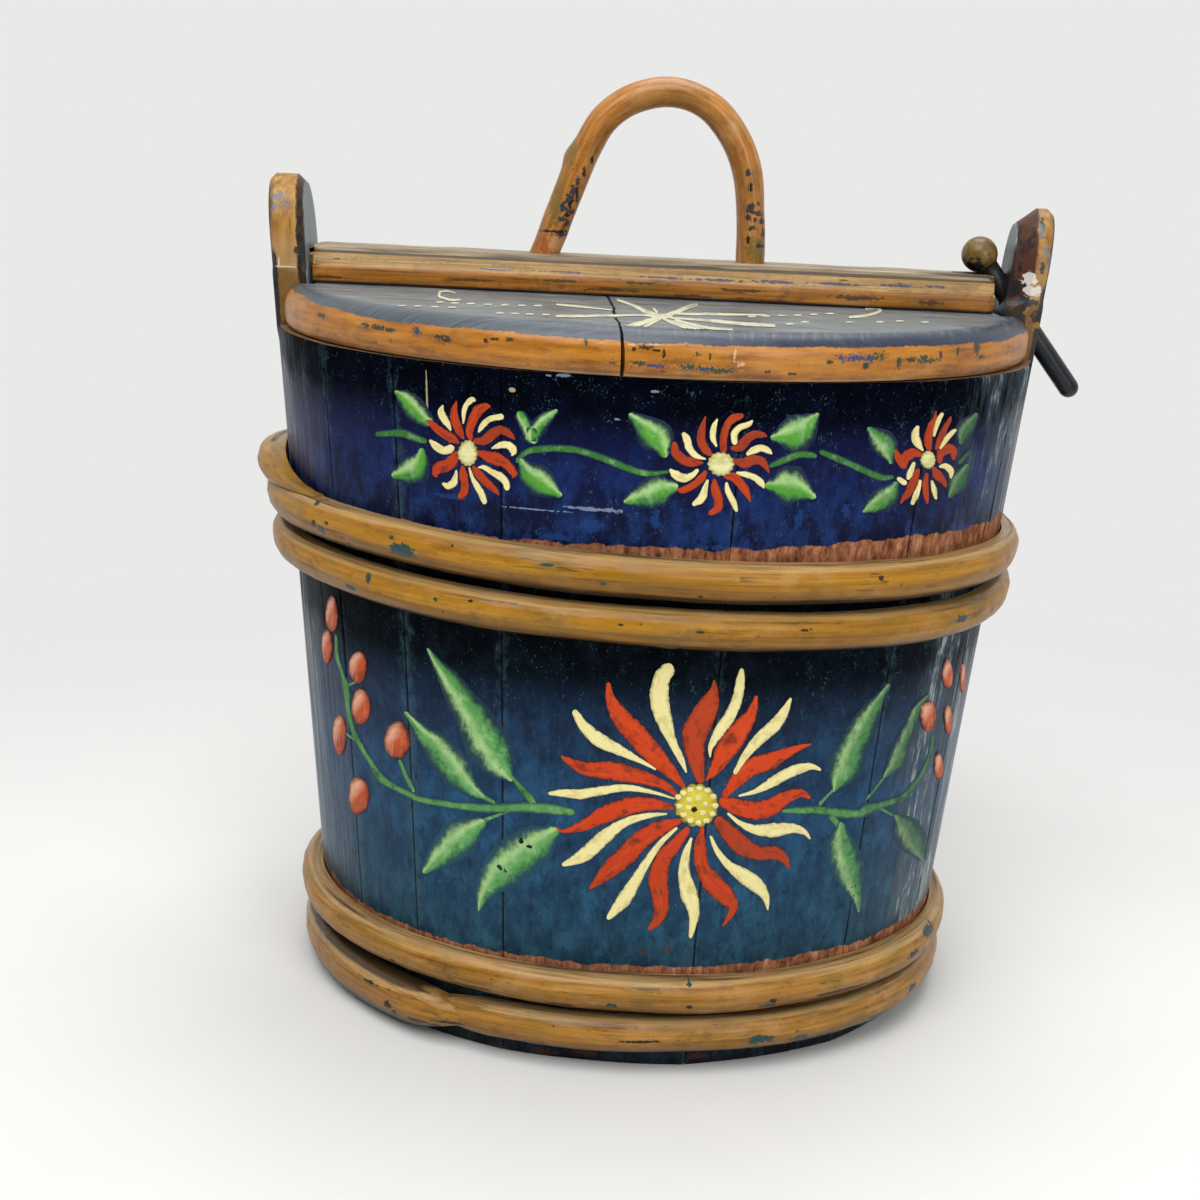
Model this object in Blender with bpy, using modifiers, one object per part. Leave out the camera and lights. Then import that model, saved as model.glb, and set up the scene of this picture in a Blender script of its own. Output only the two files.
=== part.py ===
"""Coopered oval food box: staves, split hoops, a lid that tilts open and a lock peg.

The box stands on +Z, its long axis runs along X and its front faces -Y.
"""
import math

import bmesh
import bpy
from mathutils import Euler, Matrix, Vector

# Sizes in metres, angles in degrees

# Tub, an oval cone that widens upwards
TUB_HEIGHT = 0.312
BASE_HALF_LENGTH = 0.149
RIM_HALF_LENGTH = 0.1745
OVAL_DEPTH_SHARE = 0.80
WALL = 0.009
OVAL_SIDES = 96

# Seams between staves, as shares of the half length from the middle
FRONT_SEAM_SHARES = (-0.812, -0.624, -0.362, 0.190, 0.648, 0.900)
BACK_SEAM_SHARES = (-0.880, -0.640, -0.260, 0.220, 0.560, 0.800)

# Ear staves, which stand up past the lid at both ends
EAR_THICKNESS = 0.018
EAR_STAVE_WIDTH = 0.040
EAR_HEAD_WIDTH = 0.036
EAR_HEAD_SETBACK = 0.001
EAR_TOP_ABOVE_RIM = 0.067
EAR_HEAD_ROOT = 0.012
EAR_ARCH_HEIGHT = 0.027
EAR_CHAMFER = 0.003

# Bottom board and the groove that holds it
BOTTOM_BOARD_HEIGHT = 0.018
BOTTOM_BOARD_THICKNESS = 0.010
GROOVE_DEPTH = 0.0035

# Split hoops, half round in section, in two pairs
HOOP_HEIGHT = 0.0186
HOOP_THICKNESS = 0.011
HOOP_PITCH = 0.0198
UPPER_HOOPS_HEIGHT = 0.2219
LOWER_HOOPS_HEIGHT = 0.0296
HOOP_LAP_SWELL_SHARE = 0.14
HOOP_LAP_SPREAD = 26.0

# Lid
LID_OVERHANG = 0.0014
LID_END_SETBACK = 0.0035
LID_THICKNESS = 0.019
LID_ROUNDING = 0.0085
LID_CRACK_SHARE = -0.10
LID_CRACK_WIDTH = 0.0006
LID_NOTCH_GAP = 0.0016

# Moulded batten that joins the lid boards
BATTEN_WIDTH = 0.028
BATTEN_HEIGHT = 0.017
BATTEN_LEFT_GAP = 0.002
BATTEN_RIGHT_GAP = 0.0075
BATTEN_OUTLINE_SHARES = (
    (-1.00, 0.00), (1.00, 0.00), (1.00, 0.46), (0.80, 0.84), (0.70, 0.84), (0.62, 1.00),
    (-0.62, 1.00), (-0.70, 0.84), (-0.80, 0.84), (-1.00, 0.46),
)
TONGUE_REACH = 0.009
TONGUE_WIDTH = 0.012
TONGUE_HEIGHT = 0.008
MORTISE_ROOM = 0.002
PEG_SEAT_DEPTH = 0.0165

# Wooden pegs that hold the batten down, driven from under the lid
BATTEN_PEG_RADIUS = 0.003
BATTEN_PEG_BITE = 0.010
BATTEN_PEG_SHARES = (-0.84, -0.56, 0.56, 0.84)

# Bent branch that serves as the handle, seen from the front
HANDLE_RADIUS = 0.0067
HANDLE_SPAN = 0.095
HANDLE_RISE = 0.0735
HANDLE_LEFT_SHARE = -0.325
HANDLE_TAIL = 0.015
HANDLE_COURSE_SHARES = (
    (0.065, 0.24), (0.130, 0.47), (0.190, 0.66), (0.260, 0.82), (0.375, 0.940),
    (0.520, 1.000), (0.660, 0.985), (0.790, 0.900), (0.895, 0.740), (0.955, 0.560), (0.985, 0.330),
)
HANDLE_LEAN_SHARE = 0.155
HANDLE_PIN_RADIUS = 0.002
HANDLE_PIN_LENGTH = 0.030

# Lock peg, pushed slantwise through the right ear
PEG_ANGLE = 51.0
PEG_RADIUS = 0.0047
PEG_KNOB_RADIUS = 0.0082
PEG_LENGTH = 0.081
PEG_KNOB_INSET = 0.0046
PEG_KNOB_NECK_SHARE = 0.15

# Steps in curves and round pieces
HANDLE_STEPS = 3
PEG_STEPS = 24
PIN_SIDES = 12
KNOB_ARC_STEPS = 10
EAR_ARCH_STEPS = 16
TIP_ARC_STEPS = 4
SHARP_ANGLE = 35.0

# Room between pieces
TOUCH_GAP = 0.0003
PEG_BORE_GAP = 0.0005
OVERRUN = 0.020
WELD_DISTANCE = 0.000001

# Heights and places that follow from the sizes
WALL_SLOPE = (RIM_HALF_LENGTH - BASE_HALF_LENGTH) / TUB_HEIGHT
LID_HALF_LENGTH = RIM_HALF_LENGTH - LID_END_SETBACK
LID_HALF_DEPTH = RIM_HALF_LENGTH * OVAL_DEPTH_SHARE + LID_OVERHANG
LID_BOTTOM = TUB_HEIGHT + TOUCH_GAP
LID_TOP = LID_BOTTOM + LID_THICKNESS
BATTEN_BOTTOM = LID_TOP + TOUCH_GAP
BATTEN_TOP = BATTEN_BOTTOM + BATTEN_HEIGHT
TONGUE_LEVEL = BATTEN_BOTTOM + BATTEN_HEIGHT / 2
EAR_TOP = TUB_HEIGHT + EAR_TOP_ABOVE_RIM
EAR_SEAM_ANGLE = math.asin(EAR_STAVE_WIDTH / 2 / (RIM_HALF_LENGTH * OVAL_DEPTH_SHARE))


def half_length(height):
    """Half length of the tub's outer face at a height."""
    return BASE_HALF_LENGTH + WALL_SLOPE * height


def half_depth(height):
    """Half depth of the tub's outer face at a height."""
    return half_length(height) * OVAL_DEPTH_SHARE


def ear_inner(height):
    """Distance from the middle to the inner face of an ear's head."""
    return half_length(height) - EAR_THICKNESS + EAR_HEAD_SETBACK


BATTEN_LEFT = BATTEN_LEFT_GAP - ear_inner(TONGUE_LEVEL)
BATTEN_RIGHT = ear_inner(TONGUE_LEVEL) - BATTEN_RIGHT_GAP
TONGUE_TIP = -ear_inner(TONGUE_LEVEL) - TONGUE_REACH
HINGE_PLACE = Vector((TONGUE_TIP + TONGUE_HEIGHT / 2, 0, TONGUE_LEVEL))
KNOB_PLACE = Vector((BATTEN_RIGHT - PEG_KNOB_INSET, 0, BATTEN_TOP + TOUCH_GAP + PEG_KNOB_RADIUS))
PEG_SLANT = math.radians(PEG_ANGLE)
PEG_DIRECTION = Vector((math.cos(PEG_SLANT), 0, -math.sin(PEG_SLANT)))


def clear_scene():
    for thing in list(bpy.data.objects):
        bpy.data.objects.remove(thing, do_unlink=True)
    for group in list(bpy.data.collections):
        bpy.data.collections.remove(group)


def add_collection(name):
    group = bpy.data.collections.new(name)
    bpy.context.scene.collection.children.link(group)
    return group


def add_empty(name, place):
    empty = bpy.data.objects.new(name, None)
    empty.empty_display_size = WALL
    parts.objects.link(empty)
    empty.location = place
    return empty


def add_material(name, colour, roughness):
    material = bpy.data.materials.new(name)
    material.use_nodes = True
    shader = material.node_tree.nodes["Principled BSDF"]
    shader.inputs["Base Color"].default_value = (*colour, 1)
    shader.inputs["Roughness"].default_value = roughness
    material.diffuse_color = (*colour, 1)
    return material


def mesh_from(name, shape):
    mesh = bpy.data.meshes.new(name)
    bmesh.ops.recalc_face_normals(shape, faces=shape.faces)
    shape.to_mesh(mesh)
    shape.free()
    return mesh


def add_part(name, mesh, colour, roughness, place=(0, 0, 0)):
    """One sub-part of the box, in its own material."""
    part = bpy.data.objects.new(name, mesh)
    parts.objects.link(part)
    part.location = place
    mesh.materials.clear()
    mesh.materials.append(add_material(name + "_finish", colour, roughness))
    return part


def add_cutter(name, mesh, place=(0, 0, 0)):
    """A shape that only cuts or guides."""
    cutter = bpy.data.objects.new(name, mesh)
    cutters.objects.link(cutter)
    cutter.location = place
    cutter.hide_render = True
    cutter.display_type = "WIRE"
    return cutter


def combine(part, operation, tool):
    step = part.modifiers.new(operation.lower() + "_" + tool.name, "BOOLEAN")
    step.operation = operation
    step.solver = "EXACT"
    step.object = tool


def cut(part, *tools):
    for tool in tools:
        combine(part, "DIFFERENCE", tool)


def apply_steps(thing):
    """Turn the object's curve or modifiers into a plain welded mesh."""
    bpy.context.view_layer.update()
    evaluated = thing.evaluated_get(bpy.context.evaluated_depsgraph_get())
    mesh = bpy.data.meshes.new_from_object(evaluated)
    shape = bmesh.new()
    shape.from_mesh(mesh)
    bmesh.ops.remove_doubles(shape, verts=shape.verts, dist=WELD_DISTANCE)
    bmesh.ops.recalc_face_normals(shape, faces=shape.faces)
    shape.to_mesh(mesh)
    shape.free()
    return mesh


def curve_to_mesh(curve_object):
    mesh = apply_steps(curve_object)
    bpy.data.objects.remove(curve_object, do_unlink=True)
    return mesh


def smooth(mesh):
    mesh.shade_smooth()
    mesh.set_sharp_from_angle(angle=math.radians(SHARP_ANGLE))


def oval_solid(name, low, high, grow=0.0):
    """Solid between two heights whose side lies outside the tub's outer face by grow."""
    shape = bmesh.new()
    bmesh.ops.create_cone(
        shape, cap_ends=True, segments=OVAL_SIDES, radius1=1, radius2=1, depth=high - low,
        matrix=Matrix.Translation((0, 0, (low + high) / 2)))
    for corner in shape.verts:
        corner.co.x *= half_length(corner.co.z) + grow
        corner.co.y *= half_depth(corner.co.z) + grow
    return mesh_from(name, shape)


def box(name, low, high):
    """Box between two opposite corners."""
    low, high = Vector(low), Vector(high)
    shape = bmesh.new()
    bmesh.ops.create_cube(shape, size=1)
    bmesh.ops.transform(
        shape, verts=shape.verts,
        matrix=Matrix.Translation((low + high) / 2) @ Matrix.Diagonal((*(high - low), 1)))
    return mesh_from(name, shape)


def rod(name, radius, length, sides):
    """Cylinder along Z, centred on its own origin."""
    shape = bmesh.new()
    bmesh.ops.create_cone(
        shape, cap_ends=True, segments=sides, radius1=radius, radius2=radius, depth=length)
    mesh = mesh_from(name, shape)
    smooth(mesh)
    return mesh


def outline_solid(name, outline, thickness):
    """Flat outline in the local XY plane, thickened evenly along local Z."""
    curve = bpy.data.curves.new(name, "CURVE")
    curve.dimensions = "2D"
    curve.fill_mode = "BOTH"
    curve.extrude = thickness / 2
    spline = curve.splines.new("POLY")
    spline.points.add(len(outline) - 1)
    for point, (x, y) in zip(spline.points, outline):
        point.co = (x, y, 0, 1)
    spline.use_cyclic_u = True
    flat = bpy.data.objects.new(name, curve)
    cutters.objects.link(flat)
    return curve_to_mesh(flat)


def tube(name, course, radius, cyclic=False, swell=None):
    """Round rod along a course of points, with filled ends."""
    curve = bpy.data.curves.new(name, "CURVE")
    curve.dimensions = "3D"
    curve.bevel_depth = radius
    curve.bevel_resolution = 3
    curve.use_fill_caps = not cyclic
    curve.twist_mode = "Z_UP" if cyclic else "MINIMUM"
    spline = curve.splines.new("POLY")
    spline.points.add(len(course) - 1)
    for index, (point, place) in enumerate(zip(spline.points, course)):
        point.co = (*place, 1)
        point.radius = swell[index] if swell else 1
    spline.use_cyclic_u = cyclic
    bent = bpy.data.objects.new(name, curve)
    cutters.objects.link(bent)
    mesh = curve_to_mesh(bent)
    smooth(mesh)
    return mesh


def oval_direction(angle):
    """Unit vector from the middle to the wall, for an angle around the oval."""
    return Vector((math.cos(angle), math.sin(angle) * OVAL_DEPTH_SHARE)).normalized()


def cleft(name, start, end):
    """Wedge of wood between two seams, from which one stave is shaped."""
    first, last = oval_direction(start), oval_direction(end)
    middle = (first + last).normalized()
    half_opening = first.angle(last) / 2
    tip = middle * (TOUCH_GAP / 2 / math.sin(half_opening))
    reach = (RIM_HALF_LENGTH + OVERRUN) / math.cos(half_opening)
    outline = [tip, tip + first * reach, tip + last * reach]
    return outline_solid(name, [tuple(point) for point in outline], TUB_HEIGHT + OVERRUN)


def make_stave(name, start, end, hollow, colour):
    """One stave: a cleft wedge cut to the tub's outer, inner and groove faces."""
    stave = add_part(name, cleft(name, start, end), colour, 0.55, place=(0, 0, TUB_HEIGHT / 2))
    combine(stave, "INTERSECT", tub_form)
    cut(stave, hollow, groove)
    return stave


def ear_head(name, side):
    """Board with an arched top that carries an ear stave up past the lid, leaning with the wall."""
    low, spring = TUB_HEIGHT - EAR_HEAD_ROOT, EAR_TOP - EAR_ARCH_HEIGHT
    half_width = EAR_HEAD_WIDTH / 2
    half_thickness = EAR_THICKNESS / 2 - EAR_HEAD_SETBACK
    outline = [(-half_width, low), (half_width, low)]
    for index in range(EAR_ARCH_STEPS + 1):
        turn = math.pi * index / EAR_ARCH_STEPS
        outline.append((half_width * math.cos(turn), spring + EAR_ARCH_HEIGHT * math.sin(turn)))
    shape = bmesh.new()
    loops = [[shape.verts.new((x, y, z)) for y, z in outline] for x in (-half_thickness, half_thickness)]
    for loop in loops:
        shape.faces.new(loop)
    for index in range(len(outline)):
        after = (index + 1) % len(outline)
        shape.faces.new((loops[0][index], loops[0][after], loops[1][after], loops[1][index]))
    rim = [edge for edge in shape.edges if abs(edge.verts[0].co.x - edge.verts[1].co.x) < WELD_DISTANCE]
    bmesh.ops.bevel(
        shape, geom=rim, offset=min(EAR_CHAMFER, half_thickness - TOUCH_GAP),
        offset_type="OFFSET", segments=1, affect="EDGES")
    middle = half_length(TUB_HEIGHT) - EAR_THICKNESS / 2
    for corner in shape.verts:
        corner.co.x = side * (corner.co.x + middle + WALL_SLOPE * (corner.co.z - TUB_HEIGHT))
    return add_cutter(name, mesh_from(name, shape))


def make_ear_staves():
    """Two thick staves with heads: a mortise in the left one, a slanting bore in the right."""
    left = make_stave("ear_stave_left", math.pi - EAR_SEAM_ANGLE, math.pi + EAR_SEAM_ANGLE,
                      ear_hollow, (0.045, 0.080, 0.150))
    combine(left, "UNION", ear_head("left_head", -1))
    half_width = TONGUE_WIDTH / 2 + MORTISE_ROOM / 2
    half_height = TONGUE_HEIGHT / 2 + MORTISE_ROOM
    mortise = add_cutter("mortise", box(
        "mortise", (TONGUE_TIP - MORTISE_ROOM / 2, -half_width, TONGUE_LEVEL - half_height),
        (BATTEN_LEFT + BATTEN_LEFT_GAP, half_width, TONGUE_LEVEL + half_height)))
    cut(left, mortise)
    right = make_stave("ear_stave_right", -EAR_SEAM_ANGLE, EAR_SEAM_ANGLE,
                       ear_hollow, (0.045, 0.080, 0.150))
    combine(right, "UNION", ear_head("right_head", 1))
    bore = add_cutter(
        "peg_bore", rod("peg_bore", PEG_RADIUS + PEG_BORE_GAP, PEG_LENGTH + OVERRUN, PEG_STEPS),
        place=KNOB_PLACE + PEG_DIRECTION * PEG_LENGTH / 2)
    bore.rotation_euler = peg_turn()
    cut(right, bore)


def make_wall_staves():
    """Seven staves at the front and seven at the back, numbered from the left."""
    front = [math.pi + EAR_SEAM_ANGLE]
    front += [2 * math.pi - math.acos(share) for share in FRONT_SEAM_SHARES]
    front += [2 * math.pi - EAR_SEAM_ANGLE]
    back = [math.pi - EAR_SEAM_ANGLE]
    back += [math.acos(share) for share in BACK_SEAM_SHARES]
    back += [EAR_SEAM_ANGLE]
    for number in range(len(front) - 1):
        make_stave(f"front_stave_{number + 1}", front[number], front[number + 1],
                   wall_hollow, (0.012, 0.040, 0.110))
    for number in range(len(back) - 1):
        make_stave(f"back_stave_{number + 1}", back[number + 1], back[number],
                   wall_hollow, (0.014, 0.045, 0.120))


def make_bottom_board():
    """Oval board whose edge sits in the groove around the staves."""
    mesh = oval_solid("bottom_board", BOTTOM_BOARD_HEIGHT,
                      BOTTOM_BOARD_HEIGHT + BOTTOM_BOARD_THICKNESS, GROOVE_DEPTH - WALL)
    add_part("bottom_board", mesh, (0.36, 0.22, 0.11), 0.75)


def make_hoop(name, height):
    """Split rod bent round the tub, thicker at the left end where its ends are lapped."""
    radius = HOOP_HEIGHT / 2
    offset = HOOP_THICKNESS - radius
    course, swell = [], []
    for index in range(OVAL_SIDES):
        angle = 2 * math.pi * index / OVAL_SIDES
        course.append(((half_length(height) + offset) * math.cos(angle),
                       (half_depth(height) + offset) * math.sin(angle), 0))
        from_lap = math.degrees(abs(angle - math.pi))
        swell.append(1 + HOOP_LAP_SWELL_SHARE * lap_share(from_lap))
    hoop = add_part(name, tube(name, course, radius, cyclic=True, swell=swell),
                    (0.47, 0.24, 0.045), 0.42, place=(0, 0, height))
    flat_low = add_cutter(name + "_low", box(
        name + "_low", (-half_length(height) - OVERRUN, -half_length(height) - OVERRUN, -OVERRUN),
        (half_length(height) + OVERRUN, half_length(height) + OVERRUN, -HOOP_PITCH / 2 + TOUCH_GAP)),
        place=(0, 0, height))
    flat_high = add_cutter(name + "_high", box(
        name + "_high", (-half_length(height) - OVERRUN, -half_length(height) - OVERRUN,
                         HOOP_PITCH / 2 - TOUCH_GAP),
        (half_length(height) + OVERRUN, half_length(height) + OVERRUN, OVERRUN)),
        place=(0, 0, height))
    wall_face = add_cutter(name + "_seat", oval_solid(
        name + "_seat", height - OVERRUN, height + OVERRUN, TOUCH_GAP))
    cut(hoop, wall_face, flat_low, flat_high)


def lap_share(degrees_away):
    """How much of the lap's swelling is left at an angle away from it, 1 to 0."""
    return math.exp(-(degrees_away / HOOP_LAP_SPREAD) ** 2)


def make_hoops():
    for pair, middle in (("upper", UPPER_HOOPS_HEIGHT), ("lower", LOWER_HOOPS_HEIGHT)):
        make_hoop(f"{pair}_hoop_top", middle + HOOP_PITCH / 2)
        make_hoop(f"{pair}_hoop_bottom", middle - HOOP_PITCH / 2)


def lid_blank(name):
    """Oval disc with a rounded rim."""
    shape = bmesh.new()
    bmesh.ops.create_cone(
        shape, cap_ends=True, segments=OVAL_SIDES, radius1=1, radius2=1, depth=LID_THICKNESS)
    bmesh.ops.transform(
        shape, verts=shape.verts, matrix=Matrix.Diagonal((LID_HALF_LENGTH, LID_HALF_DEPTH, 1, 1)))
    rim = [edge for edge in shape.edges if abs(edge.verts[0].co.z - edge.verts[1].co.z) < WELD_DISTANCE]
    bmesh.ops.bevel(
        shape, geom=rim, offset=min(LID_ROUNDING, LID_THICKNESS / 2 - TOUCH_GAP),
        offset_type="OFFSET", segments=3, profile=0.5, affect="EDGES")
    mesh = mesh_from(name, shape)
    smooth(mesh)
    return mesh


def lid_part(name, mesh, colour, roughness, place):
    """A sub-part that tilts with the lid, placed from the hinge."""
    part = add_part(name, mesh, colour, roughness, place=Vector(place) - HINGE_PLACE)
    part.parent = lid_hinge
    return part


def make_lid_boards(through):
    """Two boards that meet at a crack and are notched round the ears."""
    middle = (0, 0, (LID_BOTTOM + LID_TOP) / 2)
    crack = LID_CRACK_SHARE * LID_HALF_LENGTH
    reach = LID_HALF_LENGTH + OVERRUN
    for name, side in (("lid_board_left", -1), ("lid_board_right", 1)):
        board = lid_part(name, lid_blank(name), (0.20, 0.24, 0.30), 0.5, middle)
        edge = crack + side * LID_CRACK_WIDTH / 2
        spare = add_cutter(name + "_spare", box(
            name + "_spare", (min(edge, -side * reach), -reach, LID_BOTTOM - OVERRUN),
            (max(edge, -side * reach), reach, LID_TOP + OVERRUN)))
        notch_edge = ear_inner(LID_BOTTOM) - LID_NOTCH_GAP
        half_width = EAR_HEAD_WIDTH / 2 + LID_NOTCH_GAP
        notch = add_cutter(name + "_notch", box(
            name + "_notch", (min(side * notch_edge, side * reach), -half_width, LID_BOTTOM - OVERRUN),
            (max(side * notch_edge, side * reach), half_width, LID_TOP + OVERRUN)))
        cut(board, spare, notch, *through)


def make_batten(through):
    """Moulded batten with a tongue at the left and a seat for the lock peg at the right."""
    length = BATTEN_RIGHT - BATTEN_LEFT
    outline = [(across * BATTEN_WIDTH / 2, up * BATTEN_HEIGHT) for across, up in BATTEN_OUTLINE_SHARES]
    mesh = outline_solid("lid_batten", outline, length)
    mesh.transform(Matrix(((0, 0, 1, 0), (1, 0, 0, 0), (0, 1, 0, 0), (0, 0, 0, 1))))
    batten = lid_part("lid_batten", mesh, (0.42, 0.22, 0.05), 0.45,
                      ((BATTEN_LEFT + BATTEN_RIGHT) / 2, 0, BATTEN_BOTTOM))
    tongue = add_cutter("tongue", box(
        "tongue", (TONGUE_TIP, -TONGUE_WIDTH / 2, TONGUE_LEVEL - TONGUE_HEIGHT / 2),
        (BATTEN_LEFT + OVERRUN, TONGUE_WIDTH / 2, TONGUE_LEVEL + TONGUE_HEIGHT / 2)))
    combine(batten, "UNION", tongue)
    seat_radius = PEG_RADIUS + PEG_BORE_GAP
    seat_end = BATTEN_RIGHT - PEG_SEAT_DEPTH + seat_radius
    seat = add_cutter("peg_seat", rod("peg_seat", seat_radius, BATTEN_HEIGHT + OVERRUN, PEG_STEPS),
                      place=(seat_end, 0, TONGUE_LEVEL))
    seat_mouth = add_cutter("peg_seat_mouth", box(
        "peg_seat_mouth", (seat_end, -seat_radius, BATTEN_BOTTOM - OVERRUN),
        (BATTEN_RIGHT + OVERRUN, seat_radius, BATTEN_TOP + OVERRUN)))
    cut(batten, seat, seat_mouth, *through)


def handle_course():
    """Points along the branch, from its left tail under the lid to its right one."""
    left = HANDLE_LEFT_SHARE * (BATTEN_RIGHT - BATTEN_LEFT) / 2
    knots = [(left + across * HANDLE_SPAN, BATTEN_TOP + up * HANDLE_RISE)
             for across, up in HANDLE_COURSE_SHARES]
    tail = LID_BOTTOM - HANDLE_TAIL
    lean = HANDLE_LEAN_SHARE * HANDLE_SPAN
    start = (left - lean * (BATTEN_TOP - tail) / (HANDLE_RISE / 2), tail)
    knots = [start, (left, BATTEN_TOP)] + knots
    right = left + HANDLE_SPAN
    knots += [(right, BATTEN_TOP), (right, tail)]
    spline = [Vector((x, 0, z)) for x, z in knots]
    course = []
    for index in range(len(spline) - 1):
        before = spline[max(index - 1, 0)]
        here, there = spline[index], spline[index + 1]
        after = spline[min(index + 2, len(spline) - 1)]
        steps = 1 if index in (0, len(spline) - 2) else HANDLE_STEPS
        for step in range(steps):
            course.append(between(before, here, there, after, step / steps))
    course.append(spline[-1])
    return course


def between(before, here, there, after, share):
    """Point on a smooth curve through four knots, a share of the way along the middle stretch."""
    square, cube = share ** 2, share ** 3
    return 0.5 * (here * 2 + (there - before) * share
                  + (before * 2 - here * 5 + there * 4 - after) * square
                  + (here * 3 - before - there * 3 + after) * cube)


def make_handle():
    """Bent branch whose tails pass through batten and lid and are pinned underneath."""
    course = handle_course()
    shifted = [place - HINGE_PLACE for place in course]
    handle = add_part("carry_handle", tube("carry_handle", shifted, HANDLE_RADIUS), (0.46, 0.24, 0.06), 0.42)
    handle.parent = lid_hinge
    pin_level = LID_BOTTOM - HANDLE_TAIL / 2
    for side, low, high in (("left", course[0], course[1]), ("right", course[-1], course[-2])):
        place = low.lerp(high, (pin_level - low.z) / (high.z - low.z))
        name = f"handle_pin_{side}"
        pin = lid_part(name, rod(name, HANDLE_PIN_RADIUS, HANDLE_PIN_LENGTH, PIN_SIDES),
                       (0.30, 0.17, 0.08), 0.6, place)
        bore = add_cutter(name + "_bore", rod(
            name + "_bore", HANDLE_PIN_RADIUS + TOUCH_GAP, HANDLE_PIN_LENGTH, PIN_SIDES), place=place)
        pin.rotation_euler.x = bore.rotation_euler.x = math.pi / 2
        cut(handle, bore)


def make_batten_pegs():
    """Four pegs driven up through the lid boards into the batten, and the bores they fill."""
    low, high = LID_BOTTOM, BATTEN_BOTTOM + BATTEN_PEG_BITE
    half = (BATTEN_RIGHT - BATTEN_LEFT) / 2
    bores = []
    for number, share in enumerate(BATTEN_PEG_SHARES, start=1):
        name = f"batten_peg_{number}"
        x = (BATTEN_LEFT + BATTEN_RIGHT) / 2 + share * half
        lid_part(name, rod(name, BATTEN_PEG_RADIUS, high - low, PIN_SIDES),
                 (0.33, 0.19, 0.09), 0.65, (x, 0, (low + high) / 2))
        bore = rod(name + "_bore", BATTEN_PEG_RADIUS + TOUCH_GAP, high - low + OVERRUN, PIN_SIDES)
        bores.append(add_cutter(
            name + "_bore", bore, place=(x, 0, (low + high - OVERRUN) / 2 + TOUCH_GAP)))
    return bores


def peg_turn():
    """Rotation that lays local -Z along the peg's slant."""
    return Euler((0, PEG_SLANT - math.pi / 2, 0))


def make_lock_peg():
    """Turned peg: a round knob, a plain shaft and a domed tip."""
    points = []
    for index in range(KNOB_ARC_STEPS + 1):
        turn = math.pi * (1 - PEG_KNOB_NECK_SHARE) * index / KNOB_ARC_STEPS
        points.append((PEG_KNOB_RADIUS * math.sin(turn), PEG_KNOB_RADIUS * math.cos(turn)))
    neck = math.sqrt(PEG_KNOB_RADIUS ** 2 - PEG_RADIUS ** 2)
    points = [(across, along) for across, along in points if along > -neck]
    points.append((PEG_RADIUS, -neck))
    for index in range(TIP_ARC_STEPS + 1):
        turn = math.pi / 2 * index / TIP_ARC_STEPS
        points.append((PEG_RADIUS * math.cos(turn), PEG_RADIUS - PEG_LENGTH - PEG_RADIUS * math.sin(turn)))
    points[0] = (0, PEG_KNOB_RADIUS)
    points[-1] = (0, -PEG_LENGTH)
    mesh = bpy.data.meshes.new("lock_peg")
    mesh.from_pydata([(x, 0, z) for x, z in points], [(i, i + 1) for i in range(len(points) - 1)], [])
    peg = add_part("lock_peg", mesh, (0.025, 0.045, 0.080), 0.4, place=KNOB_PLACE)
    turned = peg.modifiers.new("turned", "SCREW")
    turned.steps = PEG_STEPS
    turned.render_steps = PEG_STEPS
    turned.use_merge_vertices = True
    turned.merge_threshold = WELD_DISTANCE
    turned.use_smooth_shade = True
    peg.rotation_euler = peg_turn()


def stand_on_origin():
    """Moves the whole box so that it stands centred over the origin."""
    bpy.context.view_layer.update()
    graph = bpy.context.evaluated_depsgraph_get()
    corners = []
    for part in parts.objects:
        if part.type == "MESH":
            solid = part.evaluated_get(graph)
            corners += [part.matrix_world @ vertex.co for vertex in solid.data.vertices]
    low = Vector([min(corner[axis] for corner in corners) for axis in range(3)])
    high = Vector([max(corner[axis] for corner in corners) for axis in range(3)])
    stand = add_empty("stand", (0, 0, 0))
    for thing in list(parts.objects) + list(cutters.objects):
        if thing.parent is None and thing is not stand:
            thing.parent = stand
    stand.location = (-(low.x + high.x) / 2, -(low.y + high.y) / 2, -low.z)
    bpy.context.view_layer.update()


clear_scene()
parts = add_collection("staved_box")
cutters = add_collection("cutters")

tub_form = add_cutter("tub_form", oval_solid("tub_form", 0, TUB_HEIGHT))
wall_hollow = add_cutter("wall_hollow", oval_solid("wall_hollow", -OVERRUN, TUB_HEIGHT + OVERRUN, -WALL))
ear_hollow = add_cutter(
    "ear_hollow", oval_solid("ear_hollow", -OVERRUN, TUB_HEIGHT + OVERRUN, -EAR_THICKNESS))
groove = add_cutter("groove", oval_solid(
    "groove", BOTTOM_BOARD_HEIGHT - TOUCH_GAP,
    BOTTOM_BOARD_HEIGHT + BOTTOM_BOARD_THICKNESS + TOUCH_GAP, GROOVE_DEPTH - WALL + TOUCH_GAP))

make_wall_staves()
make_ear_staves()
make_bottom_board()
make_hoops()

lid_hinge = add_empty("lid_hinge", HINGE_PLACE)
handle_bore = add_cutter(
    "handle_bore", tube("handle_bore", handle_course(), HANDLE_RADIUS + TOUCH_GAP))
bores = [handle_bore] + make_batten_pegs()
make_lid_boards(bores)
make_batten(bores)
make_handle()
make_lock_peg()
stand_on_origin()
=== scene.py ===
import math

import bmesh
import bpy
from mathutils import Matrix, Vector, noise


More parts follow.
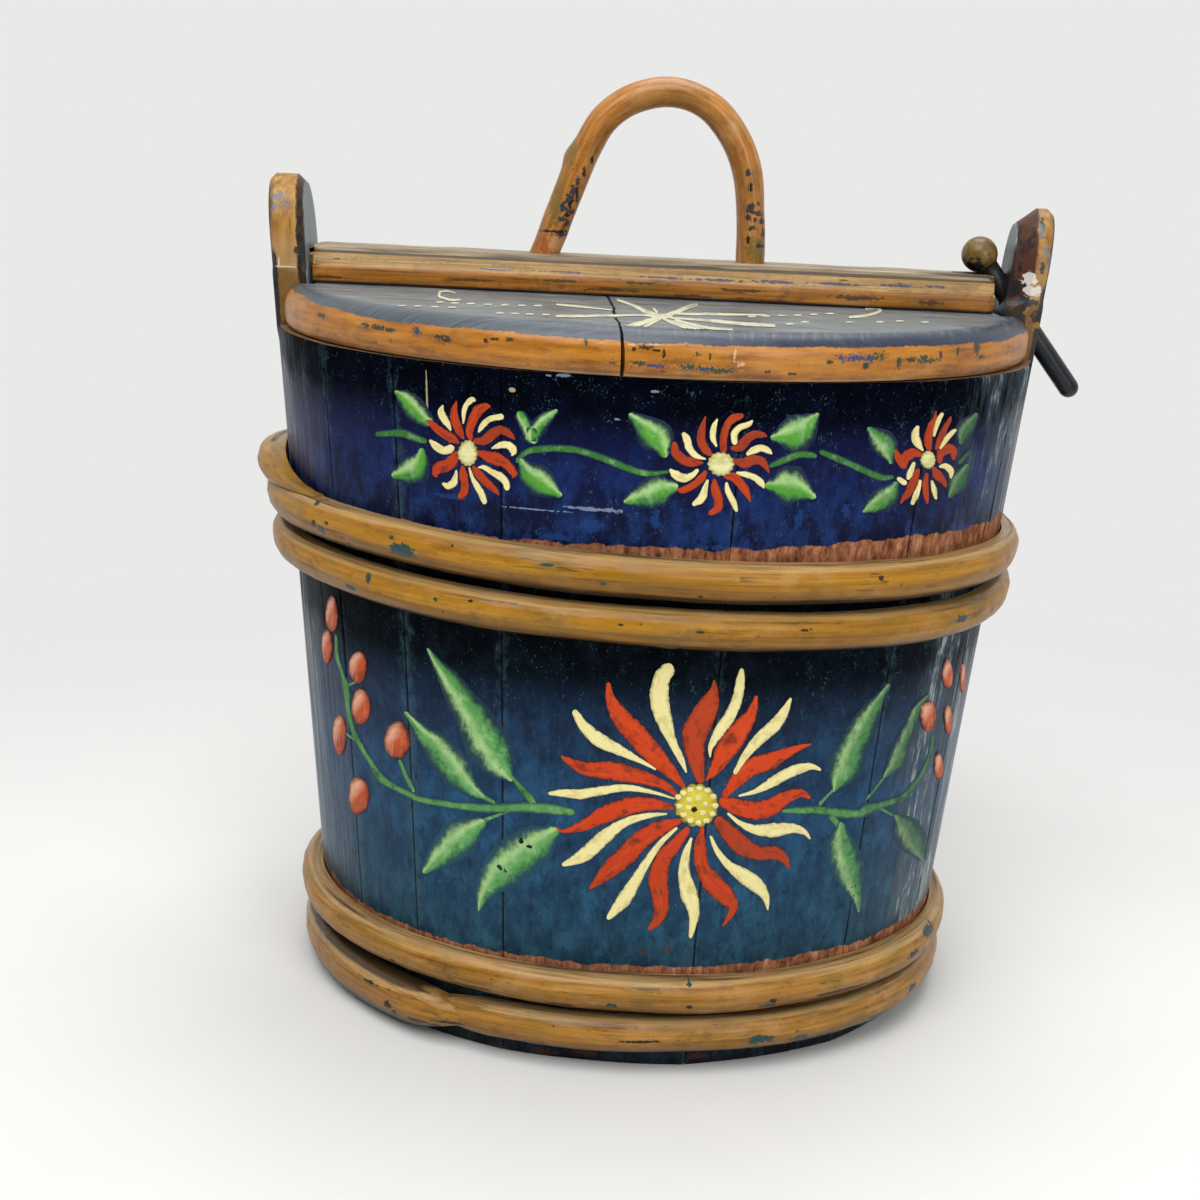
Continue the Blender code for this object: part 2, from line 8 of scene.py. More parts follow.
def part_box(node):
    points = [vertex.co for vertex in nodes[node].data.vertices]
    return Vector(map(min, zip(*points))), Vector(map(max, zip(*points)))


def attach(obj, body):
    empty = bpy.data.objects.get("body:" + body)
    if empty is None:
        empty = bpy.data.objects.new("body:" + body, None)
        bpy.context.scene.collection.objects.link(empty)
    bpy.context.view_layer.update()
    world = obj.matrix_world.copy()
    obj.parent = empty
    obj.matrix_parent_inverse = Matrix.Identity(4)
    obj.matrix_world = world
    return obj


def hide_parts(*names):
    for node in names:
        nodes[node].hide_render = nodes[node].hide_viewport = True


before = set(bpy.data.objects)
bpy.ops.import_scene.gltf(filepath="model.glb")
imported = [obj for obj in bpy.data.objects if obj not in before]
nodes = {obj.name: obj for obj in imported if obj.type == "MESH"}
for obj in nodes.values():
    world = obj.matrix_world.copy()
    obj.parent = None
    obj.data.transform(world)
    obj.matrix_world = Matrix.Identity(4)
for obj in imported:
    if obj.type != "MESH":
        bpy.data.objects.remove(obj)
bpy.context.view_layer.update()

scene = bpy.context.scene
fullTurn = 2 * math.pi

# Tub sizes, as the solids have them, and how a coopered wall differs from a smooth oval
tub = {
    "height": 0.312,
    "halfBase": 0.149,
    "halfRim": 0.1745,
    "depthShare": 0.80,
    "wall": 0.009,
    "earWall": 0.018,
    "earAngle": math.asin(0.020 / 0.1396),
    "facet": 0.30,  # how far each stave is flatter than the oval, 1 is flat
    "gap": 0.00012,  # half of the room between two staves
    "seamDepth": 0.0006,
    "seamReach": 0.0009,
    "wobble": 0.00035,
    "grooveLow": 0.0177,
    "grooveHigh": 0.0283,
    "grooveIn": 0.0052,
}
frontShares = (-0.812, -0.624, -0.362, 0.190, 0.648, 0.900)
backShares = (-0.880, -0.640, -0.260, 0.220, 0.560, 0.800)
boardLow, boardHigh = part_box("bottom_board")
middleX = (boardLow.x + boardHigh.x) / 2
slope = (tub["halfRim"] - tub["halfBase"]) / tub["height"]

camera = {
    "place": (middleX - 0.0196, -0.8001, 0.4055),  # metres
    "lookDown": -0.2708,  # radians
    "roll": 0.047,
    "lens": 51.0,  # millimetres
    "sensor": 36.0,
    "picture": 1200,  # pixels each way
}


def cameraAxes():
    tilt, roll = camera["lookDown"], camera["roll"]
    ahead = Vector((0, math.cos(tilt), math.sin(tilt)))
    across = Vector((1, 0, 0))
    upward = across.cross(ahead)
    right = across * math.cos(roll) + upward * math.sin(roll)
    up = upward * math.cos(roll) - across * math.sin(roll)
    return right, up, ahead


def addCamera():
    right, up, ahead = cameraAxes()
    seen = bpy.data.cameras.new("camera")
    seen.lens = camera["lens"]
    seen.sensor_width = camera["sensor"]
    seen.sensor_fit = "HORIZONTAL"
    seen.clip_start = 0.01
    holder = bpy.data.objects.new("camera", seen)
    scene.collection.objects.link(holder)
    turn = Matrix((right, up, -ahead)).transposed().to_4x4()
    holder.matrix_world = Matrix.Translation(camera["place"]) @ turn
    scene.camera = holder


# direction from the camera through a point of the picture
def sightLine(x, y):
    right, up, ahead = cameraAxes()
    half = camera["picture"] / 2
    focal = camera["lens"] / camera["sensor"] * camera["picture"]
    return ahead + right * ((x - half) / focal) - up * ((y - half) / focal)


addCamera()
print("camera placed")


def halfLength(z):
    return tub["halfBase"] + slope * z


# each stave's name with the angles of its two seams
def staveSpans():
    ear = tub["earAngle"]
    front = [math.pi + ear] + [fullTurn - math.acos(share) for share in frontShares] + [fullTurn - ear]
    back = [math.pi - ear] + [math.acos(share) for share in backShares] + [ear]
    spans = [("ear_stave_right", -ear, ear), ("ear_stave_left", math.pi - ear, math.pi + ear)]
    for number in range(7):
        spans.append((f"front_stave_{number + 1}", front[number], front[number + 1]))
        spans.append((f"back_stave_{number + 1}", back[number + 1], back[number]))
    return spans


spans = staveSpans()


# running length round the oval at the middle of the wall
def arcTable(count=720):
    radius = halfLength(tub["height"] / 2)
    lengths = [0.0]
    for step in range(count):
        angle = fullTurn * (step + 0.5) / count
        pace = math.hypot(math.sin(angle), math.cos(angle) * tub["depthShare"]) * radius
        lengths.append(lengths[-1] + pace * fullTurn / count)
    return lengths


arcs = arcTable()


# length along the wall up to an angle, 0 at the right ear, growing towards the back
def arcAt(angle):
    turns, rest = divmod(angle, fullTurn)
    place = rest / fullTurn * (len(arcs) - 1)
    step = min(int(place), len(arcs) - 2)
    return turns * arcs[-1] + arcs[step] + (arcs[step + 1] - arcs[step]) * (place - step)


# the stave that an angle falls on: its number, its seams, and the angle beside them
def staveAt(angle):
    for number, (name, start, end) in enumerate(spans):
        for shifted in (angle, angle - fullTurn, angle + fullTurn):
            if start <= shifted <= end:
                return number, start, end, shifted
    return 0, spans[0][1], spans[0][2], 0.0


def lumpAt(x, y, z):
    return noise.noise(Vector((x, y, z)))


def smoothStep(low, high, value):
    share = min(1.0, max(0.0, (value - low) / (high - low)))
    return share * share * (3 - 2 * share)


def ovalPoint(angle, z, out=0.0):
    radius = halfLength(z)
    return Vector((middleX + (radius + out) * math.cos(angle),
                   (radius * tub["depthShare"] + out) * math.sin(angle), z))


def wallNormal(angle):
    share = tub["depthShare"]
    return Vector((share * math.cos(angle), math.sin(angle), -slope * share)).normalized()


def seamDistance(angle):
    number, start, end, shifted = staveAt(angle)
    return max(0.0, min(arcAt(shifted) - arcAt(start), arcAt(end) - arcAt(shifted)))


# outer face of the staves: flatter than the oval, grooved at the seams, a little uneven
def wallSurface(angle, z, out=0.0):
    number, start, end, shifted = staveAt(angle)
    share = (shifted - start) / (end - start)
    chord = ovalPoint(start, z).lerp(ovalPoint(end, z), share)
    point = ovalPoint(shifted, z).lerp(chord, tub["facet"])
    away = max(0.0, min(arcAt(shifted) - arcAt(start), arcAt(end) - arcAt(shifted)))
    groove = tub["seamDepth"] * max(0.0, 1 - away / tub["seamReach"]) ** 1.5
    uneven = lumpAt(arcAt(shifted) * 28, z * 9, number * 3.7)
    return point + wallNormal(shifted) * (out + uneven * tub["wobble"] - groove)


# angle and place where a sight line meets an upright oval that widens with height
def ovalHit(x, y, radius, growth, share):
    start = Vector(camera["place"])
    line = sightLine(x, y)
    ox, oy = start.x - middleX, start.y / share
    dx, dy = line.x, line.y / share
    reach, gain = radius + growth * start.z, growth * line.z
    a = dx * dx + dy * dy - gain * gain
    b = 2 * (ox * dx + oy * dy - reach * gain)
    c = ox * ox + oy * oy - reach * reach
    root = b * b - 4 * a * c
    hit = start + line * ((-b - math.sqrt(max(root, 0.0))) / (2 * a))
    return math.atan2(hit.y / share, hit.x - middleX) % fullTurn, hit


# angle and height where a sight line meets the wall, or a hoop that stands off it
def wallHit(x, y, out=0.0):
    middle = halfLength(tub["height"] / 2)
    share = (tub["depthShare"] * middle + out) / (middle + out)
    angle, hit = ovalHit(x, y, tub["halfBase"] + out, slope, share)
    return angle, hit.z


# points where a sight line meets a level or an upright plane
def levelHit(x, y, height):
    start, line = Vector(camera["place"]), sightLine(x, y)
    return start + line * ((height - start.z) / line.z)


def uprightHit(x, y, depth):
    start, line = Vector(camera["place"]), sightLine(x, y)
    return start + line * ((depth - start.y) / line.y)


# Shared tools for meshes and materials


# sRGB hex to linear
def tone(code):
    parts = [int(code[place:place + 2], 16) / 255 for place in (1, 3, 5)]
    linear = [part / 12.92 if part <= 0.04045 else ((part + 0.055) / 1.055) ** 2.4 for part in parts]
    return (*linear, 1)


def firstOutput(node):
    return next(each for each in node.outputs if each.enabled)


# adds a node, sets it, and gives its inputs in their order or by name; nodes and sockets are linked
def addNode(tree, kind, inputs=(), stops=(), **settings):
    made = tree.nodes.new("ShaderNode" + kind)
    for name, value in settings.items():
        setattr(made, name, value)
    sockets = [each for each in made.inputs if each.enabled]
    if not isinstance(inputs, dict):
        inputs = dict(enumerate(inputs if isinstance(inputs, tuple) else (inputs,)))
    for name, value in inputs.items():
        socket = sockets[name] if isinstance(name, int) else next(each for each in sockets if each.name == name)
        if isinstance(value, bpy.types.Node):
            value = firstOutput(value)
        if isinstance(value, bpy.types.NodeSocket):
            tree.links.new(value, socket)
        else:
            socket.default_value = value
    if stops:
        points = made.color_ramp.elements
        while len(points) < len(stops):
            points.new(0.5)
        for point, (place, colour) in zip(points, stops):
            point.position = place
            point.color = tone(colour)
    return made


def newMaterial(name):
    material = bpy.data.materials.new(name)
    material.use_nodes = True
    tree = material.node_tree
    return material, tree, tree.nodes["Principled BSDF"]


# lays a colour over another where a value lies between two others, at most so strongly
def layOver(tree, under, colour, value, start, end, most=1.0):
    mask = addNode(tree, "MapRange", (value, start, end, 0, most))
    over = tone(colour) if isinstance(colour, str) else colour
    return addNode(tree, "Mix", (mask, under, over), data_type="RGBA")


# stretched noise: how many lumps a metre each way
def addGrain(tree, place, scale, detail=4.0, roughness=0.6, shift=0.0):
    stretched = addNode(tree, "Mapping", {"Vector": place, "Scale": scale, "Location": (shift, shift, 0)})
    return addNode(tree, "TexNoise", (stretched, 1.0, detail, roughness))


# clouds of other colours: colour, noise as above, where they start and are full, and strength
def addClouds(tree, colour, place, *clouds):
    for code, grain, start, end, most in clouds:
        colour = layOver(tree, colour, code, addGrain(tree, place, *grain), start, end, most)
    return colour


# moves a value up and down by noise, so that an edge read from it is ragged
def fray(tree, value, grain, size, low=0.3, high=0.7):
    shift = addNode(tree, "MapRange", (grain, low, high, -size, size))
    return addNode(tree, "Math", (value, shift), operation="ADD")


# product of values; one that comes with limits counts from 0 at the first to 1 at the second
def whereAll(tree, *values):
    whole = None
    for value in values:
        if isinstance(value, tuple):
            value = addNode(tree, "MapRange", value)
        whole = addNode(tree, "Math", (whole, value), operation="MULTIPLY") if whole else value
    return whole


# chips and stains of one colour, each a ragged oval given by its middle and half sizes
def addSpots(tree, under, place, colour, spots, ragged=0.5, scale=420.0, most=1.0):
    nearest = None
    for middle, halves in spots:
        oval = addNode(tree, "Mapping", {"Vector": place, "Location": middle, "Scale": halves},
                       vector_type="TEXTURE")
        away = addNode(tree, "VectorMath", oval, operation="LENGTH")
        nearest = addNode(tree, "Math", (nearest, away), operation="MINIMUM") if nearest else away
    grain = addNode(tree, "TexNoise", (place, scale, 4.0, 0.6))
    return layOver(tree, under, colour, fray(tree, nearest, grain, ragged, 0.25, 0.75), 1.06, 0.92, most)


# marks in the picture: colour, raggedness, strength, and x, y, width and height in pixels
def addMarks(tree, colour, place, marks, toSpot, scale):
    for code, ragged, most, picked in marks:
        colour = addSpots(tree, colour, place, code, [toSpot(spot) for spot in picked], ragged, scale, most)
    return colour


# where the paint of a piece is read from: a kept attribute, or the piece's own space
def paintPlace(tree, attribute=None):
    if attribute:
        return addNode(tree, "Attribute", attribute_name=attribute).outputs["Vector"]
    return addNode(tree, "TexCoord").outputs["Object"]


# links colour, roughness (a number, a node, or a noise with its two ends), specular level and relief
def finishPaint(tree, shader, colour, rough, specular=0.5, relief=None, strength=0.55, depth=0.0005):
    if isinstance(rough, tuple):
        rough = addNode(tree, "MapRange", (rough[0], 0.3, 0.7, *rough[1:]))
    finish = {"Base Color": colour, "Roughness": rough, "Specular IOR Level": specular}
    if relief:
        finish["Normal"] = addNode(tree, "Bump", {"Height": relief, "Strength": strength, "Distance": depth})
    for name, value in finish.items():
        if isinstance(value, float):
            shader.inputs[name].default_value = value
        else:
            tree.links.new(firstOutput(value), shader.inputs[name])


# a mark on the face that a hit function gives, so deep
def frontSpot(spot, hit, deep):
    x, y, wide, tall = spot
    middle = hit(x, y)
    pixel = (middle - Vector(camera["place"])).length * camera["sensor"] / camera["lens"] / camera["picture"]
    return tuple(middle), (wide / 2 * pixel, deep, tall / 2 * pixel)


# a mark on the wall, or on what stands off it: by length round the tub and height
def wallSpot(spot, out=0.0, deep=50.0):
    x, y, wide, tall = spot
    angle, z = wallHit(x, y, out)
    left, right = wallHit(x - wide / 2, y, out)[0], wallHit(x + wide / 2, y, out)[0]
    high, low = wallHit(x, y - tall / 2, out)[1], wallHit(x, y + tall / 2, out)[1]
    return (arcAt(angle), z, 0.0), (abs(arcAt(right) - arcAt(left)) / 2, (high - low) / 2, deep)


def gridFaces(rows, columns, ring=False):
    faces = []
    for row in range(rows - 1):
        here, there = row * columns, (row + 1) * columns
        for column in range(columns - (0 if ring else 1)):
            after = (column + 1) % columns
            faces.append((here + column, here + after, there + after, there + column))
    return faces


# rings joined to a tube and closed at both ends
def tubeFaces(rows, ring):
    whole = rows * ring
    return gridFaces(rows, ring, ring=True) + [tuple(range(ring)), tuple(range(whole - ring, whole))]


def tidyNormals(mesh, angle):
    shape = bmesh.new()
    shape.from_mesh(mesh)
    bmesh.ops.recalc_face_normals(shape, faces=shape.faces)
    shape.to_mesh(mesh)
    shape.free()
    mesh.shade_smooth()
    mesh.set_sharp_from_angle(angle=math.radians(angle))


def addPiece(name, corners, faces, materials, body, slot, replaced=(), angle=38, kinds=None):
    mesh = bpy.data.meshes.new(name)
    mesh.from_pydata([tuple(corner) for corner in corners], [], faces)
    for material in materials:
        mesh.materials.append(material)
    if kinds:
        for face, kind in zip(mesh.polygons, kinds):
            face.material_index = kind
    tidyNormals(mesh, angle)
    piece = bpy.data.objects.new(name, mesh)
    scene.collection.objects.link(piece)
    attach(piece, body)
    if replaced:
        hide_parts(*replaced)
    return piece


# keeps three numbers for each corner of a piece, for its material
def note(piece, name, values):
    layer = piece.data.attributes.new(name, "FLOAT_VECTOR", "POINT")
    layer.data.foreach_set("vector", [part for value in values for part in value])


# takes a closed shape out of a piece
def cutAway(piece, corners, faces):
    mesh = bpy.data.meshes.new("cutter")
    mesh.from_pydata([tuple(corner) for corner in corners], [], faces)
    tidyNormals(mesh, 30)
    cutter = bpy.data.objects.new("cutter", mesh)
    scene.collection.objects.link(cutter)
    step = piece.modifiers.new("cut", "BOOLEAN")
    step.operation = "DIFFERENCE"
    step.solver = "EXACT"
    step.object = cutter
    bpy.context.view_layer.update()
    solid = piece.evaluated_get(bpy.context.evaluated_depsgraph_get())
    cutMesh = bpy.data.meshes.new_from_object(solid)
    piece.modifiers.clear()
    cutMesh.name = piece.data.name + "_cut"
    piece.data = cutMesh
    bpy.data.objects.remove(cutter, do_unlink=True)
    cutMesh.set_sharp_from_angle(angle=math.radians(38))


def boxShape(low, high):
    corners = [(x, y, z) for x in (low[0], high[0]) for y in (low[1], high[1]) for z in (low[2], high[2])]
    faces = [(0, 1, 3, 2), (4, 6, 7, 5), (0, 4, 5, 1), (2, 3, 7, 6), (0, 2, 6, 4), (1, 5, 7, 3)]
    return corners, faces


# closed round rod between two points
def rodShape(start, end, radius, sides=24):
    along = (end - start).normalized()
    side = along.orthogonal().normalized()
    other = along.cross(side)
    corners = []
    for place in (start, end):
        for step in range(sides):
            turn = fullTurn * step / sides
            corners.append(place + (side * math.cos(turn) + other * math.sin(turn)) * radius)
    return corners, tubeFaces(2, sides)


def joined(*shapes):
    corners, faces = [], []
    for more, over in shapes:
        first = len(corners)
        corners += list(more)
        faces += [tuple(first + corner for corner in face) for face in over]
    return corners, faces


# points on a smooth line through the given ones, any number of values each
def smoothPath(points, steps):
    path = []
    for index in range(len(points) - 1):
        before = points[max(index - 1, 0)]
        here, there = points[index], points[index + 1]
        after = points[min(index + 2, len(points) - 1)]
        for step in range(steps):
            share = step / steps
            path.append(tuple(
                0.5 * (2 * b + (c - a) * share + (2 * a - 5 * b + 4 * c - d) * share ** 2
                       + (3 * b - a - 3 * c + d) * share ** 3)
                for a, b, c, d in zip(before, here, there, after)))
    path.append(tuple(points[-1]))
    return path


# Hoop places, needed by the wall's paint too
hoops = {
    "upper_hoop_top": {"height": 0.2318, "tilt": 0.0055, "tall": 0.0185, "thick": 0.0112,
                       "lapAt": 182.0, "lap": 62.0, "lapRise": 0.0110, "gapRight": 0.0008, "seed": 1.0},
    "upper_hoop_bottom": {"height": 0.2104, "tilt": 0.0053, "tall": 0.0177, "thick": 0.0104,
                          "lapAt": 8.0, "lap": 22.0, "lapRise": -0.002, "gapRight": 0.0004, "seed": 7.0},
    "lower_hoop_top": {"height": 0.0395, "tilt": 0.0016, "tall": 0.0182, "thick": 0.0110,
                       "lapAt": 150.0, "lap": 20.0, "lapRise": 0.002, "gapRight": 0.0003, "seed": 13.0},
    "lower_hoop_bottom": {"height": 0.0188, "tilt": 0.0002, "tall": 0.0184, "thick": 0.0110,
                          "lapAt": 240.0, "lap": 22.0, "lapRise": -0.001, "gapRight": 0.0003, "seed": 21.0,
                          "leftBulk": 0.42, "leftDrop": 0.0042},
}


def hoopLevel(name, angle):
    hoop = hoops[name]
    return hoop["height"] - hoop["tilt"] * math.cos(angle)


def hoopSpot(name, spot):
    (length, z, out), halves = wallSpot(spot, 0.009, 0.5)
    return (length, z - hoopLevel(name, wallHit(*spot[:2], 0.009)[0]), out), halves


# how far a place lies above the paint's lower edges over the two pairs of hoops
def bareHeights(angle, z):
    around = math.degrees(angle) % 360
    slipped = smoothStep(232, 330, around) if around > 180 else smoothStep(128, 30, around)
    upper = hoopLevel("upper_hoop_top", angle) + 0.0080 + 0.0100 * slipped
    lower = hoopLevel("lower_hoop_top", angle) + 0.0100 + 0.0030 * slipped
    return z - upper, z - lower


# Materials


# Linseed oil paint brushed on spruce: navy above and teal-blue below, blotchy, streaked up the
# staves, with a painted glancing sheen at the ends, painted shade under the lid and the upper hoops, and bare red-brown
# wood where the hoops slipped
wallMarks = (
    ("#1d3f7c", 1.0, 0.55, ((588, 527, 26, 12), (800, 520, 8, 20), (848, 512, 7, 14), (556, 538, 34, 7),
                            (655, 520, 8, 26), (452, 497, 30, 5), (880, 545, 36, 5), (720, 548, 60, 4))),
    ("#8fa3c0", 1.0, 0.55, ((600, 511, 50, 3.6), (577, 508.5, 24, 3), (532, 509.6, 60, 1.4), (563, 376, 13, 3),
                            (548, 376, 5, 2), (655, 392, 9, 2.5), (617, 420, 7, 2))),
    ("#b39f7c", 0.25, 0.8, ((426, 397, 1.8, 52), (512, 390, 7, 4.5))),
    ("#4a2f20", 0.9, 0.55, ((498, 1048, 22, 7), (540, 1052, 26, 7), (585, 1054, 22, 7), (700, 1056, 20, 6),
                            (668, 950, 10, 7), (642, 953, 6, 6), (668, 938, 5, 4))),
)


def makeWallPaint():
    material, tree, shader = newMaterial("navy_linseed_oil_paint")
    place = paintPlace(tree, "wallPlace")
    seam, overUpper, overLower = addNode(tree, "SeparateXYZ", paintPlace(tree, "wallWear")).outputs
    # brush marks are 1.2 mm apart and 40 mm long, blotches of thicker paint about 12 mm
    brush = addGrain(tree, place, (820, 24, 1))
    blotch = addGrain(tree, place, (80, 50, 1), 7.0, 0.74)
    level = fray(tree, addNode(tree, "SeparateXYZ", place).outputs["Y"], blotch, 0.016, 0, 1)
    height = addNode(tree, "MapRange", (level, 0, 0.32))
    # colour by height, both ramps with painted shade: near black under the upper hoops and towards the lid
    under = addNode(tree, "ValToRGB", height, (
        (0.0, "#090d15"), (0.09, "#0b121c"), (0.15, "#102c3c"), (0.20, "#15364c"), (0.38, "#143452"),
        (0.50, "#0c1f38"), (0.58, "#05090f"), (0.70, "#030407"), (0.755, "#080f2c"), (0.82, "#091238"),
        (0.885, "#090f34"), (0.925, "#04060d"), (1.0, "#020304")))
    upper = addNode(tree, "ValToRGB", height, (
        (0.0, "#18232b"), (0.14, "#27505f"), (0.38, "#24557a"), (0.50, "#1b3f62"), (0.58, "#0e1a24"),
        (0.71, "#0d1219"), (0.76, "#183a74"), (0.86, "#142a62"), (0.92, "#0a1029"), (1.0, "#040609")))
    colour = layOver(tree, under, upper, blotch, 0.45, 0.64, 0.85)
    colour = layOver(tree, colour, upper, brush, 0.56, 0.80, 0.45)
    worked = addGrain(tree, place, (240, 150, 1), 6.0, 0.78, 4.4)
    colour = layOver(tree, colour, "#04070c", worked, 0.46, 0.36, 0.50)
    crumbs = whereAll(tree, addGrain(tree, place, (1300, 900, 1), 2.0), worked)
    colour = layOver(tree, colour, "#5d8494", crumbs, 0.33, 0.42, 0.28)
    # rubbed columns beside some of the seams
    gate = addGrain(tree, place, (16, 5, 1), 1.0, 0.5)
    rubbed = whereAll(tree, (seam, 0.014, 0.001), gate, worked)
    colour = layOver(tree, colour, "#3f5c68", rubbed, 0.22, 0.36, 0.45)
    colour = layOver(tree, colour, "#030405", seam, 0.0007, 0.0002, 0.75)
    # painted sheen: both ends are streaked pale upright, standing in for glancing light on the gloss
    x, y, z = addNode(tree, "SeparateXYZ", paintPlace(tree)).outputs
    across = addNode(tree, "Math", (x, middleX), operation="SUBTRACT")
    radius = addNode(tree, "Math", (z, slope, tub["halfBase"]), operation="MULTIPLY_ADD")
    share = addNode(tree, "Math", (across, radius), operation="DIVIDE")
    right = addNode(tree, "MapRange", (share, 0.62, 0.80))
    left = addNode(tree, "MapRange", (share, -0.74, -0.94, 0, 0.92))
    ends = addNode(tree, "Math", (right, left), operation="MAXIMUM")
    sheenGrain = addGrain(tree, place, (300, 34, 1), 6.0, 0.8, 7.0)
    patch = addGrain(tree, place, (60, 22, 1), 4.0, 0.65, 2.2)
    sheenStreaks = whereAll(tree, ends, (patch, 0.38, 0.60, 0.55), sheenGrain)
    colour = layOver(tree, colour, "#48575f", sheenStreaks, 0.28, 0.50, 0.70)
    colour = layOver(tree, colour, "#b2babb", sheenStreaks, 0.47, 0.60, 0.80)
    colour = addMarks(tree, colour, place, wallMarks, wallSpot, 500.0)
    # bare wood over the hoops, with a ragged edge to the paint
    jagged = addGrain(tree, place, (95, 60, 1), 5.0)
    wood = addNode(tree, "ValToRGB", addGrain(tree, place, (330, 110, 1), 6.0, 0.75), (
        (0.32, "#46261a"), (0.46, "#855239"), (0.58, "#a87250"), (0.74, "#cba382")))
    bands = [whereAll(tree, (fray(tree, edge, jagged, 0.0016), 0.0003, -0.0003), (edge, floor, floor + 0.001))
             for edge, floor in ((overUpper, -0.013), (overLower, -0.014))]
    bare = addNode(tree, "Math", tuple(bands), operation="MAXIMUM")
    colour = addNode(tree, "Mix", (bare, colour, wood), data_type="RGBA")
    sheen = addGrain(tree, place, (420, 9, 1), 3.0, shift=2.3)
    gloss = addNode(tree, "MapRange", (sheen, 0.35, 0.65, 0.20, 0.46))
    dull = addNode(tree, "Mix", (bare, gloss, 0.75))
    # painted shade carried into the gloss: less specular under the upper hoops and under the lid
    shadedSpecular = addNode(tree, "ValToRGB", height, (
        (0.0, "#606060"), (0.50, "#606060"), (0.58, "#202020"), (0.72, "#202020"), (0.78, "#585858"),
        (0.87, "#505050"), (0.93, "#101010")))
    relief = addNode(tree, "Math", (brush, blotch), operation="ADD")
    finishPaint(tree, shader, colour, dull, shadedSpecular, relief, 0.4, 0.0003)
    return material


# Bare spruce, planed and darkened by age, rings 2 to 3 mm apart: inside of the box, bottom and pegs
def makeOldWood():
    material, tree, shader = newMaterial("aged_planed_spruce")
    place = paintPlace(tree)
    grain = addGrain(tree, place, (420, 420, 14))
    colour = addNode(tree, "ValToRGB", grain, ((0.25, "#4d3320"), (0.5, "#7c5838"), (0.75, "#9d7850")))
    colour = layOver(tree, colour, "#33241a", addNode(tree, "TexNoise", (place, 22.0, 5.0)), 0.5, 0.72, 0.6)
    finishPaint(tree, shader, colour, 0.72, relief=grain, strength=0.5, depth=0.0003)
    return material


# wear that all the ochre pieces share: clouds of olive and tan, dirt, splits along the grain, pits
def addWear(tree, colour, place, streak, olive, tan, dirt, splits, pits):
    colour = addClouds(
        tree, colour, place, ("#6a5a20", ((34, 48, 48), 4.0, 0.65), 0.50, 0.68, olive),
        ("#bd9663", ((40, 60, 60), 5.0, 0.7, 4.1), 0.53, 0.70, tan),
        ("#3a2410", ((70, 120, 120), 6.0, 0.72, 8.3), 0.53, 0.72, dirt))
    ridge = addGrain(tree, place, tuple(part * 0.55 for part in streak), 2.0, 0.5, 1.7)
    middle = addNode(tree, "Math", (ridge, 0.5), operation="SUBTRACT")
    line = addNode(tree, "Math", middle, operation="ABSOLUTE")
    gate = addGrain(tree, place, (60, 90, 90), 2.0, 0.5, 6.1)
    holes = addNode(tree, "TexVoronoi", (place, 190.0)).outputs["Distance"]
    for value, limits, code, start, end, most in (
            (line, (0.50, 0.60, 0.05, 0.0), "#1b1008", 0.016, 0.006, splits),
            (holes, (0.40, 0.52, 0.0, 0.3), "#2a1b0c", 0.16, 0.09, pits)):
        closed = addNode(tree, "MapRange", (gate, *limits))
        both = addNode(tree, "Math", (value, closed), operation="ADD")
        colour = layOver(tree, colour, code, both, start, end, most)
    return colour


# Ochre oil paint on split or shaped wood, brushed along the grain and varnished by handling: glossy
# where it is smooth, dull in the grain, and what is dark and chipped lies deeper
def makeOchrePaint(name, streak, stops, wear, gloss, spots, paintedShadeAndHighlight=()):
    material, tree, shader = newMaterial(name)
    place = paintPlace(tree, "alongPlace")
    grain = addGrain(tree, place, streak, 5.0)
    colour = addWear(tree, addNode(tree, "ValToRGB", grain, stops), place, streak, *wear)
    if paintedShadeAndHighlight:
        # painted shade and highlight by height on the hoop: darker on the lower half, near black underneath and along
        # the top where the hoops meet, paler just below the top; colour, and heights on the hoop where it starts and is
        # full
        up = addNode(tree, "SeparateXYZ", paintPlace(tree, "edgePlace")).outputs["Y"]
        level = fray(tree, up, grain, 0.0012)
        for code, start, full, most in paintedShadeAndHighlight:
            colour = layOver(tree, colour, code, level, start, full, most)
    spotPlace = paintPlace(tree, "spotPlace")
    for code, ragged, picked in spots:
        colour = addSpots(tree, colour, spotPlace, code, picked, ragged)
    finishPaint(tree, shader, colour, (grain, *gloss), 0.34, colour)
    return material


